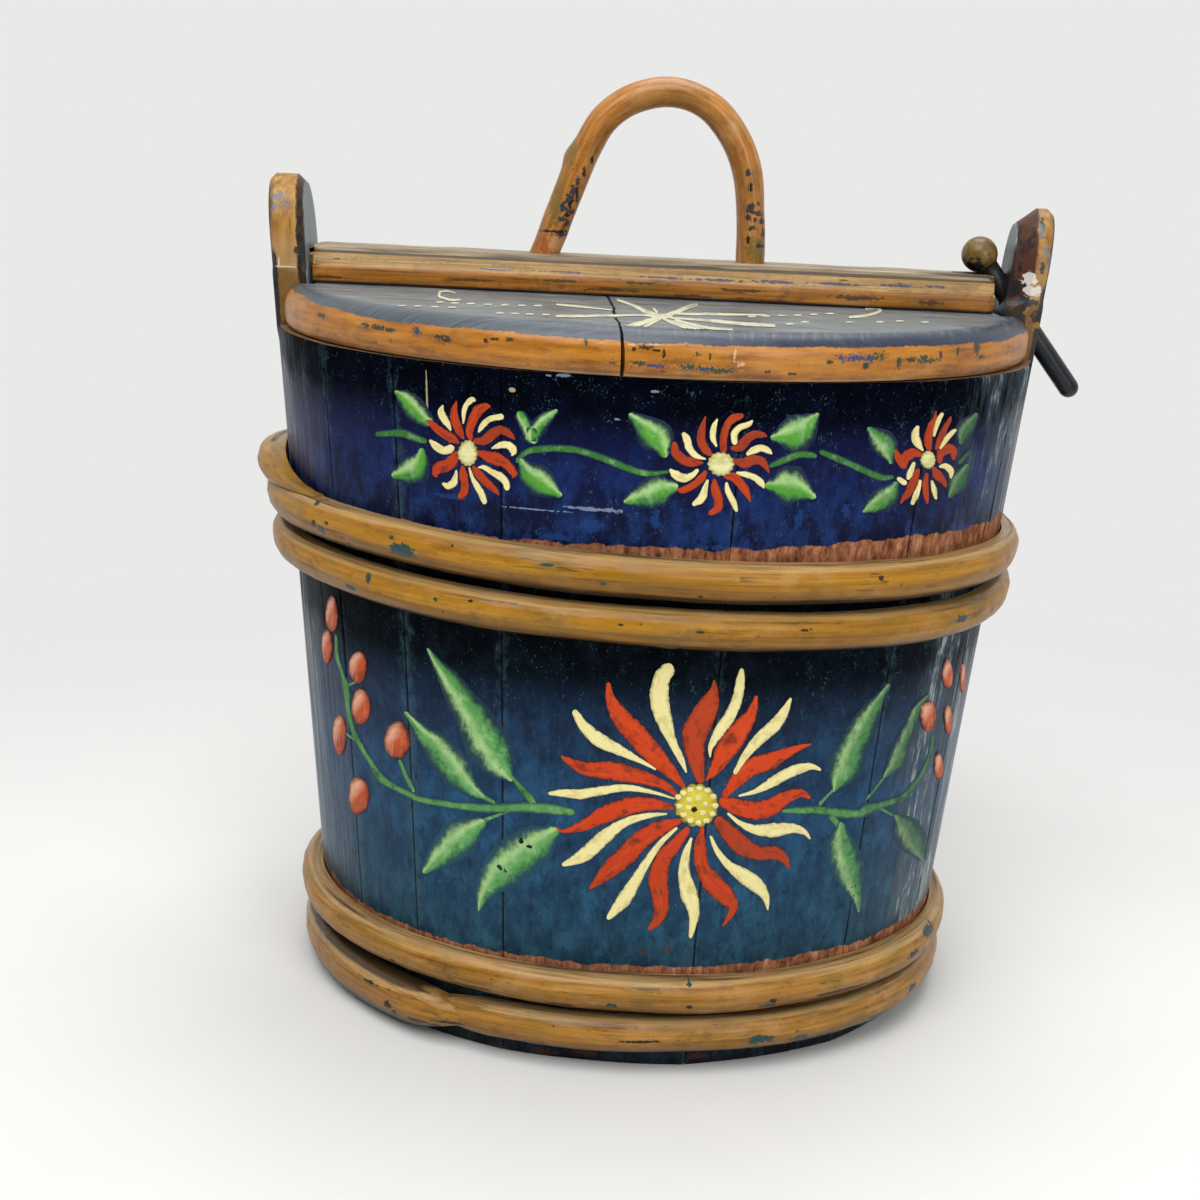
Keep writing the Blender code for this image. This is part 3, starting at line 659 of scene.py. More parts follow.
# Oil paint laid on with a loaded brush: dull, streaked along the stroke, thin and dark at its edges
def makeOrnamentPaint(name, look):
    material, tree, shader = newMaterial(name)
    # x is millimetres along the stroke, y runs from -1 to 1 across it, z differs for each stroke
    place, wall = paintPlace(tree, "strokePlace"), paintPlace(tree, "wallPlace")
    parts = addNode(tree, "SeparateXYZ", place).outputs
    if look.get("mottled"):
        # dabbed with a nearly dry brush, lumps of 4 to 8 mm
        marks = addGrain(tree, wall, (170, 110, 1), 6.0, 0.75)
        lumps = addGrain(tree, wall, (120, 120, 1), 5.0, 0.7, 3.0)
        rough = addGrain(tree, wall, (230, 170, 1), 6.0, 0.78, 5.0)
    else:
        marks = addGrain(tree, place, look.get("marks", (0.12, 3.2, 1)))
        lumps = addGrain(tree, place, (0.16, 0.8, 1), 4.0, 0.6, 3.0)
        rough = addGrain(tree, place, (0.42, 1.3, 1), 5.0, 0.7, 5.0)
    along, depth, z = addNode(tree, "SeparateXYZ", paintPlace(tree)).outputs
    height = addNode(tree, "MapRange", (z, 0, 0.32))
    colour = addNode(tree, "ValToRGB", lumps, (
        (0.34, look["dark"]), (0.50, look["heart"]), (0.70, look["heart"])))
    if "levels" in look:
        # hue by height on the box
        colour = layOver(tree, colour, addNode(tree, "ValToRGB", height, look["levels"]), lumps, 0.40, 0.50)
    colour = layOver(tree, colour, look["light"], marks, 0.50, 0.70, look["streak"])
    if "dull" in look:
        # some strokes are duller than the others
        pick = addNode(tree, "TexWhiteNoise", {"W": parts["Z"]}, noise_dimensions="1D").outputs["Value"]
        colour = layOver(tree, colour, look["dull"], pick, 0.45, 0.95, 0.70)
    if look.get("round"):
        flat = addNode(tree, "VectorMath", (place, (1, 1, 0)), operation="MULTIPLY")
        away = addNode(tree, "VectorMath", flat, operation="LENGTH")
        side = addNode(tree, "VectorMath", (place, (-0.6, 0.8, 0)), operation="DOT_PRODUCT")
    else:
        away = addNode(tree, "Math", parts["Y"], operation="ABSOLUTE")
        side = parts["Y"]
    if "glint" in look:
        # the upper left side is lit with paler paint
        lit = addNode(tree, "Math", (side, lumps), operation="SUBTRACT")
        colour = layOver(tree, colour, look["glint"], lit, *look["glintFrom"], 0.8)
    frayed = addNode(tree, "Math", (away, rough), operation="ADD")
    rim, blur = look["rim"], look.get("blur", 0.20)
    colour = layOver(tree, colour, look["soft"], frayed, rim - 0.10 - blur, rim, 0.75)
    edge = addNode(tree, "ValToRGB", height, look["under"]) if "under" in look else look["edge"]
    colour = layOver(tree, colour, edge, frayed, rim + 0.14 - blur, rim + 0.14, 0.95)
    if "fade" in look:
        # rubbed thin towards the right end: colour, where along X it starts and is full, and how much
        thin = addNode(tree, "Math", (rough, 0.1, along), operation="MULTIPLY_ADD")
        colour = layOver(tree, colour, look["fade"][0], thin, *look["fade"][1:])
    colour = addMarks(tree, colour, wall, look.get("spots", ()), wallSpot, 600.0)
    finishPaint(tree, shader, colour, 0.5, 0.18, marks, 0.6, 0.0002)
    return material


wallPaint = makeWallPaint()
oldWood = makeOldWood()
print("wall paint and old wood mixed")

# Staves
staves = {
    "spacing": 0.0030,  # metres between mesh lines round the wall
    "levels": 78,
    "footRounding": 0.0012,
}


# angles across a stave, close together at both seams
def staveAngles(start, end):
    length = arcAt(end) - arcAt(start)
    edge = [0.0, 0.0003, 0.0006, 0.0010]
    inner = max(4, int((length - 2 * edge[-1]) / staves["spacing"]))
    places = edge + [edge[-1] + (length - 2 * edge[-1]) * step / inner for step in range(1, inner)]
    places += [length - place for place in reversed(edge)]
    return [start + (end - start) * place / length for place in places]


def staveLevels():
    top = tub["height"]
    low, high = tub["grooveLow"], tub["grooveHigh"]
    fixed = [0.0, 0.0006, 0.0014, low - 0.0001, low + 0.0001, high - 0.0001, high + 0.0001,
             top - 0.0010, top - 0.0004, top]
    even = [top * step / staves["levels"] for step in range(1, staves["levels"])]
    kept = [level for level in even if min(abs(level - each) for each in fixed) > 0.0012]
    return sorted(fixed + kept)


def makeStave(name, start, end):
    angles, levels = staveAngles(start, end), staveLevels()
    count = len(angles)
    trim = tub["gap"] / (arcAt(end) - arcAt(start))
    low, high, top = tub["grooveLow"], tub["grooveHigh"], tub["height"]
    corners, places, wear = [], [], []
    for z in levels:
        foot = max(0.0, 1 - z / staves["footRounding"]) ** 2 * 0.0010
        head = max(0.0, 1 - (top - z) / 0.0010) ** 2 * 0.0008
        inner = tub["grooveIn"] if low < z < high else tub["wall"]
        for angle in angles:
            share = (angle - start) / (end - start)
            held = start + (end - start) * (trim + share * (1 - 2 * trim))
            corners.append(wallSurface(held, z, -foot - head))
            places.append((arcAt(angle), z, (start + 7) * 0.37))
            wear.append((seamDistance(held), *bareHeights(angle, z)))
        for angle in reversed(angles):
            share = (angle - start) / (end - start)
            held = start + (end - start) * (trim + share * (1 - 2 * trim))
            corners.append(ovalPoint(held, z, -inner))
            places.append((arcAt(angle), z, 5.0))
            wear.append((0.01, 1.0, 1.0))
    faces = gridFaces(len(levels), 2 * count, ring=True)
    kinds = [1 if count <= index % (2 * count) < 2 * count - 1 else 0 for index in range(len(faces))]
    for first in (0, (len(levels) - 1) * 2 * count):
        for step in range(count - 1):
            faces.append((first + step, first + step + 1,
                          first + 2 * count - 2 - step, first + 2 * count - 1 - step))
            kinds.append(1)
    piece = addPiece(name + "_wood", corners, faces, [wallPaint, oldWood], "tub", "blue_paint",
                     [name], kinds=kinds, angle=32)
    note(piece, "wallPlace", places)
    note(piece, "wallWear", wear)


for name, start, end in spans:
    if name.startswith(("front", "back")):
        makeStave(name, start, end)
for name in ("bottom_board", "batten_peg_1", "batten_peg_2", "batten_peg_3", "batten_peg_4",
             "handle_pin_left", "handle_pin_right"):
    nodes[name].data.materials.clear()
    nodes[name].data.materials.append(oldWood)
print("staves shaped")

# Ear staves: boards with an arched top, their rims chamfered until the chamfers run out below
ears = {
    "rootLow": 0.3020,
    "rootHigh": 0.3116,
    "top": 0.379,
    "arch": 0.027,
    "halfThick": 0.0080,
    "halfWide": 0.0179,
    "runOutLow": 0.3345,
    "runOutHigh": 0.3392,
    # width and depth of the chamfer towards the lid, then of the one away from it
    "chamfers": {-1: (0.0036, 0.0034, 0.0026, 0.0024), 1: (0.0088, 0.0072, 0.0028, 0.0024)},
}


# distance of the head's middle from the tub's, at a height
def headMiddle(z):
    return halfLength(tub["height"]) - tub["earWall"] / 2 + slope * (z - tub["height"])


# the ear stave's own section, with as many points as the head's
def wallRing(side, z):
    start = math.pi if side < 0 else 0.0
    reach = tub["earAngle"] * (1 - tub["gap"] / 0.020) * (-1 if side > 0 else 1)
    thick = tub["earWall"]
    ring = [wallSurface(start + reach * step / 6, z) for step in range(6)]
    a, b = wallSurface(start + reach, z), ovalPoint(start + reach, z, -thick)
    ring += [a.lerp(b, step / 10) for step in range(10)]
    ring += [ovalPoint(start + reach * (1 - step / 6), z, -thick) for step in range(12)]
    a, b = ovalPoint(start - reach, z, -thick), wallSurface(start - reach, z)
    ring += [a.lerp(b, step / 10) for step in range(10)]
    ring += [wallSurface(start - reach * (1 - step / 6), z) for step in range(6)]
    return ring


def headHalf(z, inset):
    spring = ears["top"] - ears["arch"]
    wide = ears["halfWide"] - inset
    if z <= spring:
        return wide
    rise = min(1.0, (z - spring) / max(ears["arch"] - inset, 0.001))
    return max(0.0003, wide * math.sqrt(max(0.0, 1 - rise * rise)))


def headRing(side, z):
    run = 0.22 + 0.78 * smoothStep(ears["runOutLow"], ears["runOutHigh"], z)
    innerWide, innerDeep, outerWide, outerDeep = (part * run for part in ears["chamfers"][side])
    half, left = ears["halfThick"], ears["top"] - z
    outerPart, innerPart = min(1.0, left / outerDeep), min(1.0, left / innerDeep)
    rim = []
    for step in range(4):
        part = outerPart * (1 - step / 4)
        rim.append((half - outerWide * (1 - part), outerDeep * part))
    for step in range(3):
        rim.append((half - outerWide - (2 * half - outerWide - innerWide) * step / 3, 0.0))
    for step in range(4):
        part = innerPart * step / 3
        rim.append((-half + innerWide * (1 - part), innerDeep * part))
    front = [(x, -headHalf(z, inset)) for x, inset in rim]
    outer, inner = front[0], front[-1]
    ring = [(outer[0], outer[1] * step / 6) for step in range(6)]
    ring += front[:10]
    ring += [(inner[0], inner[1] * (1 - step / 6)) for step in range(12)]
    ring += [(x, -y) for x, y in reversed(front)][:10]
    ring += [(outer[0], -outer[1] * (1 - step / 6)) for step in range(6)]
    placed = []
    for x, y in ring:
        lump = lumpAt(x * 60 + side * 5, y * 60, z * 40) * 0.0003
        placed.append(Vector((middleX + side * (headMiddle(z) + x + lump), y + lump, z)))
    return placed


def makeEar(name, side):
    top, spring = ears["top"], ears["top"] - ears["arch"]
    levels = [level for level in staveLevels() if level < ears["rootLow"]]
    levels += [ears["rootLow"] + (ears["rootHigh"] - ears["rootLow"]) * step / 5 for step in range(6)]
    levels += [ears["rootHigh"] + (spring - ears["rootHigh"]) * step / 34 for step in range(1, 35)]
    levels += [spring + ears["arch"] * math.sin(math.pi / 2 * step / 22) for step in range(1, 23)]
    corners = []
    for z in levels:
        if z <= ears["rootLow"]:
            ring = wallRing(side, z)
        elif z < ears["rootHigh"]:
            share = smoothStep(ears["rootLow"], ears["rootHigh"], z)
            ring = [a.lerp(b, share) for a, b in zip(wallRing(side, z), headRing(side, z))]
        else:
            ring = headRing(side, z)
        corners += ring
    count = len(ring)
    faces = tubeFaces(len(levels), count)
    paint = makeEarPaint(side)
    return addPiece(name + "_wood", corners, faces, [paint, wallPaint], "tub", "ear_paint", [name], angle=30)


# marks on the ears' fronts: colour, raggedness, and x, y, width and height in pixels
earMarks = {
    -1: (("#5f6c76", 0.5, ((277, 196, 11, 9), (273, 206, 6, 7), (284, 204, 4, 4))),
         ("#0d0c0b", 0.6, ((298, 203, 4, 6), (299, 221, 5, 9), (299, 238, 4, 8), (296, 250, 4, 10),
                           (299, 262, 4, 14), (275, 262, 4, 18), (274, 283, 4, 10), (305, 288, 10, 8))),
         ("#c9bfae", 0.35, ((286, 266.5, 19, 1.6), (279, 262, 2, 10))),
         ("#0f2833", 0.6, ((302, 252, 4, 16), (270, 292, 6, 14)))),
    1: (("#0b0b0c", 0.5, ((1030, 212, 34, 6), (1046, 222, 5, 14), (1017, 292, 12, 16), (1012, 262, 5, 20),
                          (1022, 268, 4, 10))),
        ("#5d6670", 0.6, ((1044, 232, 6, 14), (1050, 262, 5, 16), (1047, 250, 5, 8))),
        ("#ded8cc", 0.45, ((1030, 279, 13, 13), (1032, 291, 15, 12))),
        ("#132637", 0.6, ((1028, 302, 20, 7), (1042, 268, 4, 10))),
        ("#231d10", 0.7, ((1018, 313, 14, 14), (1034, 318, 8, 12))),
        ("#8d6a2c", 0.7, ((1026, 311, 6, 6), (1036, 326, 7, 6)))),
}


def frontOfEar(x, y):
    return uprightHit(x, y, -0.0175)


# Ochre oil paint over dark blue on riven ash: rubbed through on the edges, dark on the chamfer
def makeEarPaint(side):
    material, tree, shader = newMaterial(
        "ochre_oil_paint_on_left_ear" if side < 0 else "ochre_and_oxblood_oil_paint_on_right_ear")
    place = paintPlace(tree)
    zone = paintPlace(tree, "earZone")
    parts = addNode(tree, "SeparateXYZ", zone).outputs
    streak = (380, 380, 26)
    grain = addGrain(tree, place, streak, 5.0)
    ochre = addNode(tree, "ValToRGB", grain, (
        (0.28, "#6b4618"), (0.46, "#96692a"), (0.60, "#a98036"), (0.78, "#b8935c")))
    blotch = addGrain(tree, place, (120, 120, 70), 5.0, 0.7, 2.0)
    shift = addNode(tree, "MapRange", (blotch, 0.3, 0.7, -0.0010, 0.0010))
    colour = layOver(tree, ochre, "#b18c60", parts["Z"], 0.356, 0.346, 0.75)
    colour = layOver(tree, colour, "#6d4a1d", parts["Z"], 0.3382, 0.3372, 0.85)
    colour = addWear(tree, colour, place, streak, 0.35, 0.45, 0.6, 0.5, 0.5)
    across = addNode(tree, "Math", (parts["X"], shift), operation="ADD")
    # worn dark along both edges of the front, and blue-black outside lower down
    colour = layOver(tree, colour, "#2c1a0c", across, 0.0064, 0.0074, 0.75)
    outside = addNode(tree, "MapRange", (across, 0.0052, 0.0060))
    lower = addNode(tree, "MapRange", (parts["Z"], 0.352, 0.338))
    edge = addNode(tree, "Math", (outside, lower), operation="MULTIPLY")
    colour = layOver(tree, colour, "#121c26", edge, 0.4, 0.6, 0.85)
    # the chamfer towards the lid
    chamfer = ears["chamfers"][side][0]
    tint = "#1d140d" if side < 0 else "#3f1912"
    limit = -ears["halfThick"] + chamfer
    colour = layOver(tree, colour, tint, across, limit + 0.0002, limit - 0.0003, 0.92)
    if side > 0:
        dusky = addNode(tree, "MapRange", (blotch, 0.46, 0.62))
        dark = addNode(tree, "MapRange", (across, limit, limit - 0.001))
        both = addNode(tree, "Math", (dusky, dark), operation="MULTIPLY")
        colour = layOver(tree, colour, "#0d0a0a", both, 0.3, 0.8, 0.85)
    # the face towards the lid is smooth and grey-blue
    grey = addNode(tree, "ValToRGB", grain, ((0.3, "#3f474e"), (0.5, "#6a7278"), (0.72, "#8b9194")))
    colour = layOver(tree, colour, grey, parts["X"], -0.0073, -0.0077)
    if side > 0:
        # painted shade over dark paint: the right one's face towards the lid is near black but for its top, where the
        # peg's knob shades it
        both = whereAll(tree, (parts["X"], -0.0071, -0.0075), (parts["Z"], 0.366, 0.358))
        colour = layOver(tree, colour, "#0f0b0a", both, 0.2, 0.8, 0.94)
    patchy = whereAll(tree, (blotch, 0.52, 0.62), (parts["X"], 0.0070, 0.0076))
    colour = layOver(tree, colour, "#16283c", patchy, 0.3, 0.7, 0.85)
    for code, ragged, picked in earMarks[side]:
        spots = [frontSpot(spot, frontOfEar, 0.010) for spot in picked]
        colour = addSpots(tree, colour, place, code, spots, ragged * 1.4, 520.0, 0.85)
    finishPaint(tree, shader, colour, (grain, 0.26, 0.48), 0.34, colour)
    return material


leftEar = makeEar("ear_stave_left", -1)
rightEar = makeEar("ear_stave_right", 1)
hinge = {"x": middleX - 0.1648, "z": 0.3401}
cutAway(leftEar, *boxShape((hinge["x"] - 0.0050, -0.0070, hinge["z"] - 0.0060),
                           (hinge["x"] + 0.0140, 0.0070, hinge["z"] + 0.0060)))
peg = {
    "knob": Vector((0.1477 + middleX, 0, 0.3571)),
    "along": Vector((0.62932, 0, -0.777146)),
    "length": 0.081,
    "radius": 0.0047,
    "knobRadius": 0.0082,
    "bore": 0.0052,
}
bore = rodShape(peg["knob"] - peg["along"] * 0.004, peg["knob"] + peg["along"] * 0.090, peg["bore"], 32)
cutAway(rightEar, *bore)


# ear paint above, wall paint below the root
def noteEar(piece, side):
    places, walls, wear = [], [], []
    for corner in piece.data.vertices:
        x, y, z = corner.co
        angle = math.atan2(y / tub["depthShare"], x - middleX)
        if abs(abs(angle) - math.pi) < 0.3 and angle < 0:
            angle += fullTurn
        places.append((side * (x - middleX) - headMiddle(z), abs(y), z))
        walls.append((arcAt(angle), z, 1.3))
        wear.append((seamDistance(angle), *bareHeights(angle, z)))
    note(piece, "earZone", places)
    note(piece, "wallPlace", walls)
    note(piece, "wallWear", wear)
    for face in piece.data.polygons:
        face.material_index = 1 if face.center.z < 0.3085 else 0


noteEar(leftEar, -1)
noteEar(rightEar, 1)
print("ears shaped")

# Hoops: split withies bent round the tub, each with its two ends lapped
hoopMarks = {
"upper_hoop_top": (("#1f3d3a", ((405, 550, 24, 13), (325, 530, 7, 8), (393, 537, 6, 5),
(547, 563, 12, 3), (603, 582, 6, 4), (330, 523, 4, 4))),
("#2c1d0d", ((314, 504, 4, 4), (318, 524, 4, 8), (350, 545, 4, 4), (452, 545, 3, 3),
(880, 577, 6, 5), (262, 489, 8, 6), (700, 596, 6, 3), (771, 603, 5, 3)))),
"upper_hoop_bottom": (("#1f3d3a", ((368, 577, 5, 9), (352, 587, 9, 6), (895, 600, 12, 8),
(960, 618, 10, 7), (436, 598, 4, 4))),
("#2c1d0d", ((300, 570, 4, 4), (470, 600, 5, 3), (700, 632, 10, 3),
(620, 625, 6, 3), (806, 630, 8, 3)))),
"lower_hoop_top": (("#1c1006", ((393, 958, 8, 4), (470, 985, 40, 2.5), (560, 1003, 30, 2.5),
(840, 988, 50, 3), (820, 997, 24, 2.5), (690, 1004, 8, 4), (772, 998, 8, 4),
(910, 952, 10, 5))),
("#233a38", ((612, 1004, 12, 5), (768, 1003, 14, 5), (690, 985, 6, 4), (930, 930, 8, 8)))),
"lower_hoop_bottom": (("#1c1006", ((392, 995, 8, 7), (398, 1004, 5, 8), (372, 972, 14, 3), (420, 1012, 20, 4),
(436, 1020, 10, 5), (450, 1018, 30, 3), (640, 1040, 40, 2.5),
(820, 1034, 40, 3), (880, 1010, 20, 3))),
("#1f3d40", ((760, 1037, 26, 8), (800, 1035, 18, 6), (910, 985, 8, 6)))),
}


# half-round section as (out, up) pairs, split unevenly and grooved along the grain
def hoopSection(hoop, angle, share):
    seed = hoop["seed"]
    x, y = math.cos(angle), math.sin(angle)
    broad = lumpAt(x * 3 + seed, y * 3, seed)
    small = lumpAt(x * 14 + seed, y * 14, seed * 2)
    tall = hoop["tall"] * (1 + 0.05 * broad + 0.02 * small) * share
    thick = hoop["thick"] * (1 + 0.07 * broad - 0.03 * small) * share ** 0.8
    thick *= 1 - 0.24 * smoothStep(0.78, 1.0, x)
    tall *= 1 + hoop.get("leftBulk", 0.0) * smoothStep(0.35, 0.85, -x)
    ring = []
    steps = 30
    for step in range(steps + 1):
        turn = math.pi * (step / steps - 0.5)
        out = thick * math.cos(turn) ** 0.82
        up = min(tall / 2 * math.sin(turn), tall * 0.455)
        grain = lumpAt(x * 9 + seed * 3, y * 9, turn * 3.6)
        split = max(0.0, 1 - abs(grain) / 0.07) * smoothStep(0.0, 0.3, lumpAt(x * 4, y * 4, turn + seed))
        knot = lumpAt(x * 22 + seed, y * 22, turn * 2.2)
        ring.append((max(0.0003, out - (0.0007 * split - 0.00035 * knot) * min(1.0, out / 0.003)), up))
    return ring + [(0.0, tall * 0.2), (0.0, -tall * 0.2)]


def makeHoop(name):
    hoop = hoops[name]
    lap = math.radians(hoop["lap"])
    begin = math.radians(hoop["lapAt"]) - lap / 2
    total = fullTurn + lap
    taper = min(lap * 0.9, math.radians(34))
    count = 400
    corners, places, edges, marks = [], [], [], []
    for step in range(count + 1):
        turn = total * step / count
        angle = begin + turn
        share = 0.35 + 0.65 * smoothStep(0, taper, turn)
        share = min(share, 0.12 + 0.88 * smoothStep(total, total - taper, turn))
        rise, lift = 0.0, 0.0
        if turn > total - lap * 1.6:
            over = smoothStep(total - lap * 1.6, total - lap * 0.5, turn)
            rise = hoop["lapRise"] * over * (1 - 0.25 * smoothStep(total - taper, total, turn))
            lift = 0.0035 * over * (1 if hoop["lapRise"] < 0.004 else 1.25)
        if turn < lap * 1.3:
            rise = -min(abs(hoop["lapRise"]) * 0.35, 0.0015) * smoothStep(lap * 1.3, lap * 0.3, turn)
        z = hoopLevel(name, angle) + rise
        z -= hoop.get("leftDrop", 0.0) * smoothStep(0.25, 0.85, -math.cos(angle))
        z += 0.0007 * lumpAt(math.cos(angle) * 2.5, math.sin(angle) * 2.5, hoop["seed"] + 4)
        gap = 0.0004 + hoop["gapRight"] * smoothStep(0.80, 1.0, math.cos(angle)) + lift
        outward = wallNormal(angle)
        outward.z = 0
        outward.normalize()
        section = hoopSection(hoop, angle, share)
        for out, up in section:
            corners.append(ovalPoint(angle, z + up) + outward * (out + gap * min(1.0, 0.1 + out / 0.003)))
            places.append((arcAt(angle), up + rise, out + hoop["seed"]))
            edges.append((0.0, up, 0.0))
            # marks are placed by the length round the tub, and end beside the seam of that length
            marks.append((arcAt(angle % fullTurn), up + rise, 0.0 if abs(math.cos(angle / 2)) < 0.998 else 9.0))
    ring = len(section)
    faces = tubeFaces(count + 1, ring)
    lower = name.startswith("lower")
    stops = (((0.27, "#5c3a0e"), (0.42, "#8e5f18"), (0.58, "#a4742a"), (0.76, "#b68c4c")) if lower else
             ((0.27, "#5f3f0a"), (0.42, "#90620c"), (0.58, "#a57210"), (0.76, "#b48830")))
    wear = (0.55, 0.45, 0.60, 0.55, 0.7) if lower else (0.55, 0.32, 0.55, 0.55, 0.7)
    spots = [(code, 0.7, [hoopSpot(name, spot) for spot in picked]) for code, picked in hoopMarks[name]]
    # painted shade on the lower half, underside and top edge of each hoop, and a painted highlight along its top
    paint = makeOchrePaint("mustard_oil_paint_on_" + name, (15, 430, 430), stops, wear, (0.26, 0.50), spots, (
        ("#583808", 0.0015, -0.0065, 0.70), ("#0d0805", -0.0050, -0.0074, 0.95),
        ("#cdb183", 0.0058, 0.0078, 0.40), ("#140d07", 0.0080, 0.0092, 0.85)))
    piece = addPiece(name + "_withy", corners, faces, [paint], "tub", "ochre_paint", [name], angle=50)
    note(piece, "alongPlace", places)
    note(piece, "edgePlace", edges)
    note(piece, "spotPlace", marks)


for name in hoops:
    makeHoop(name)
print("hoops bent")

# Lid: two boards with rounded rims that meet at a crack
lid = {
    "halfLength": 0.171,
    "halfDepth": 0.141,
    "low": 0.3123,
    "high": 0.3313,
    "crackX": middleX - 0.0171,
    "crackHalf": 0.0003,
    "notchX": 0.1745 - 0.017 - 0.0016,
    "notchHalf": 0.0196,
    "sides": 300,
    "rounding": (0.0085, 0.0092),  # how far the rounded edge reaches in and down
    "borderZ": 0.3264,  # where the rim's ochre meets the blue of the top
    "rings": (0.97, 0.93, 0.88, 0.82, 0.76, 0.70, 0.63, 0.56, 0.49, 0.42, 0.35, 0.28, 0.20, 0.12),
}
# how far the crack runs from its straight line, for distances from the middle of the lid
crackCourse = ((0.0, -0.0058), (0.012, -0.0055), (0.060, -0.0028), (0.100, -0.0014), (0.128, 0.0000),
               (0.137, 0.0016), (0.150, 0.0024))
lidMarks = {
    "chip": ((321, 315.5, 12, 5), (366, 325, 9, 4), (378, 327.5, 14, 5), (390, 330, 10, 4), (441, 337, 18, 4),
             (446, 340, 12, 4), (485.5, 340.5, 5, 6), (495, 339.5, 9, 3), (509.5, 339.5, 9, 4), (586, 341, 4, 7),
             (575, 336, 5, 3), (710, 356.6, 2.4, 7), (697, 354, 2, 6), (899, 363, 5, 12), (911, 360, 14, 5),
             (924, 357.5, 10, 5), (941, 355, 4, 9), (958, 351.5, 2.6, 9), (977, 348, 7, 14), (981, 357, 7, 4),
             (866, 366, 6, 7), (829, 362, 8, 4), (792, 374, 8, 3), (768, 372, 5, 4)),
    "blue": ((855, 358, 26, 6), (842, 358, 6, 7), (870, 359, 7, 6), (706, 369, 34, 4), (417, 332, 8, 9),
             (1000, 341, 22, 2.4), (1012, 336, 20, 2.4), (1018, 331, 10, 2), (655, 366, 26, 3)),
    "green": ((879.5, 356.6, 11, 8), (722, 371, 30, 4), (690, 367, 20, 4), (640, 363, 16, 3), (926, 361, 20, 5)),
    "hole": ((645, 347.6, 14, 4.5), (634, 349, 6, 4), (656, 350.5, 10, 2.6), (664, 354, 3, 8)),
    # the pale marks are partly painted highlight on the rim's upper curve near the crack, partly pale chips lower down
    "pale": ((652, 343.8, 20, 2), (632, 345, 8, 2), (742, 364.5, 9, 4), (735, 355, 3, 12)),
    "brown": ((676, 361, 36, 4), (1008, 352, 30, 4), (600, 364, 60, 3)),
}

lidStrength = {"brown": 0.55, "pale": 0.45}


# (setback from the rim, height) from the underside's edge round to the top's edge
def lidProfile():
    low = lid["low"]
    inward, down = lid["rounding"]
    points = [(0.0060, low), (0.0042, low + 0.0001)]
    for step in range(1, 7):
        turn = math.pi / 2 * step / 6
        points.append((0.0042 * (1 - math.sin(turn)), low + 0.0048 * (1 - math.cos(turn))))
    for step in range(1, 5):
        points.append((0.0, low + 0.0048 + 0.0050 * step / 4))
    for step in range(1, 11):
        turn = math.pi / 2 * step / 10
        points.append((inward * (1 - math.cos(turn)), lid["high"] - down * (1 - math.sin(turn))))
    return points


def crackShift(y):
    away = abs(y)
    for (near, shift), (far, after) in zip(crackCourse, crackCourse[1:]):
        if away <= far:
            return shift + (after - shift) * (away - near) / (far - near)
    return crackCourse[-1][1]


# where a sight line meets the lid's rim
def frontOfLid(x, y):
    return ovalHit(x, y, lid["halfLength"], 0.0, lid["halfDepth"] / lid["halfLength"])[1]


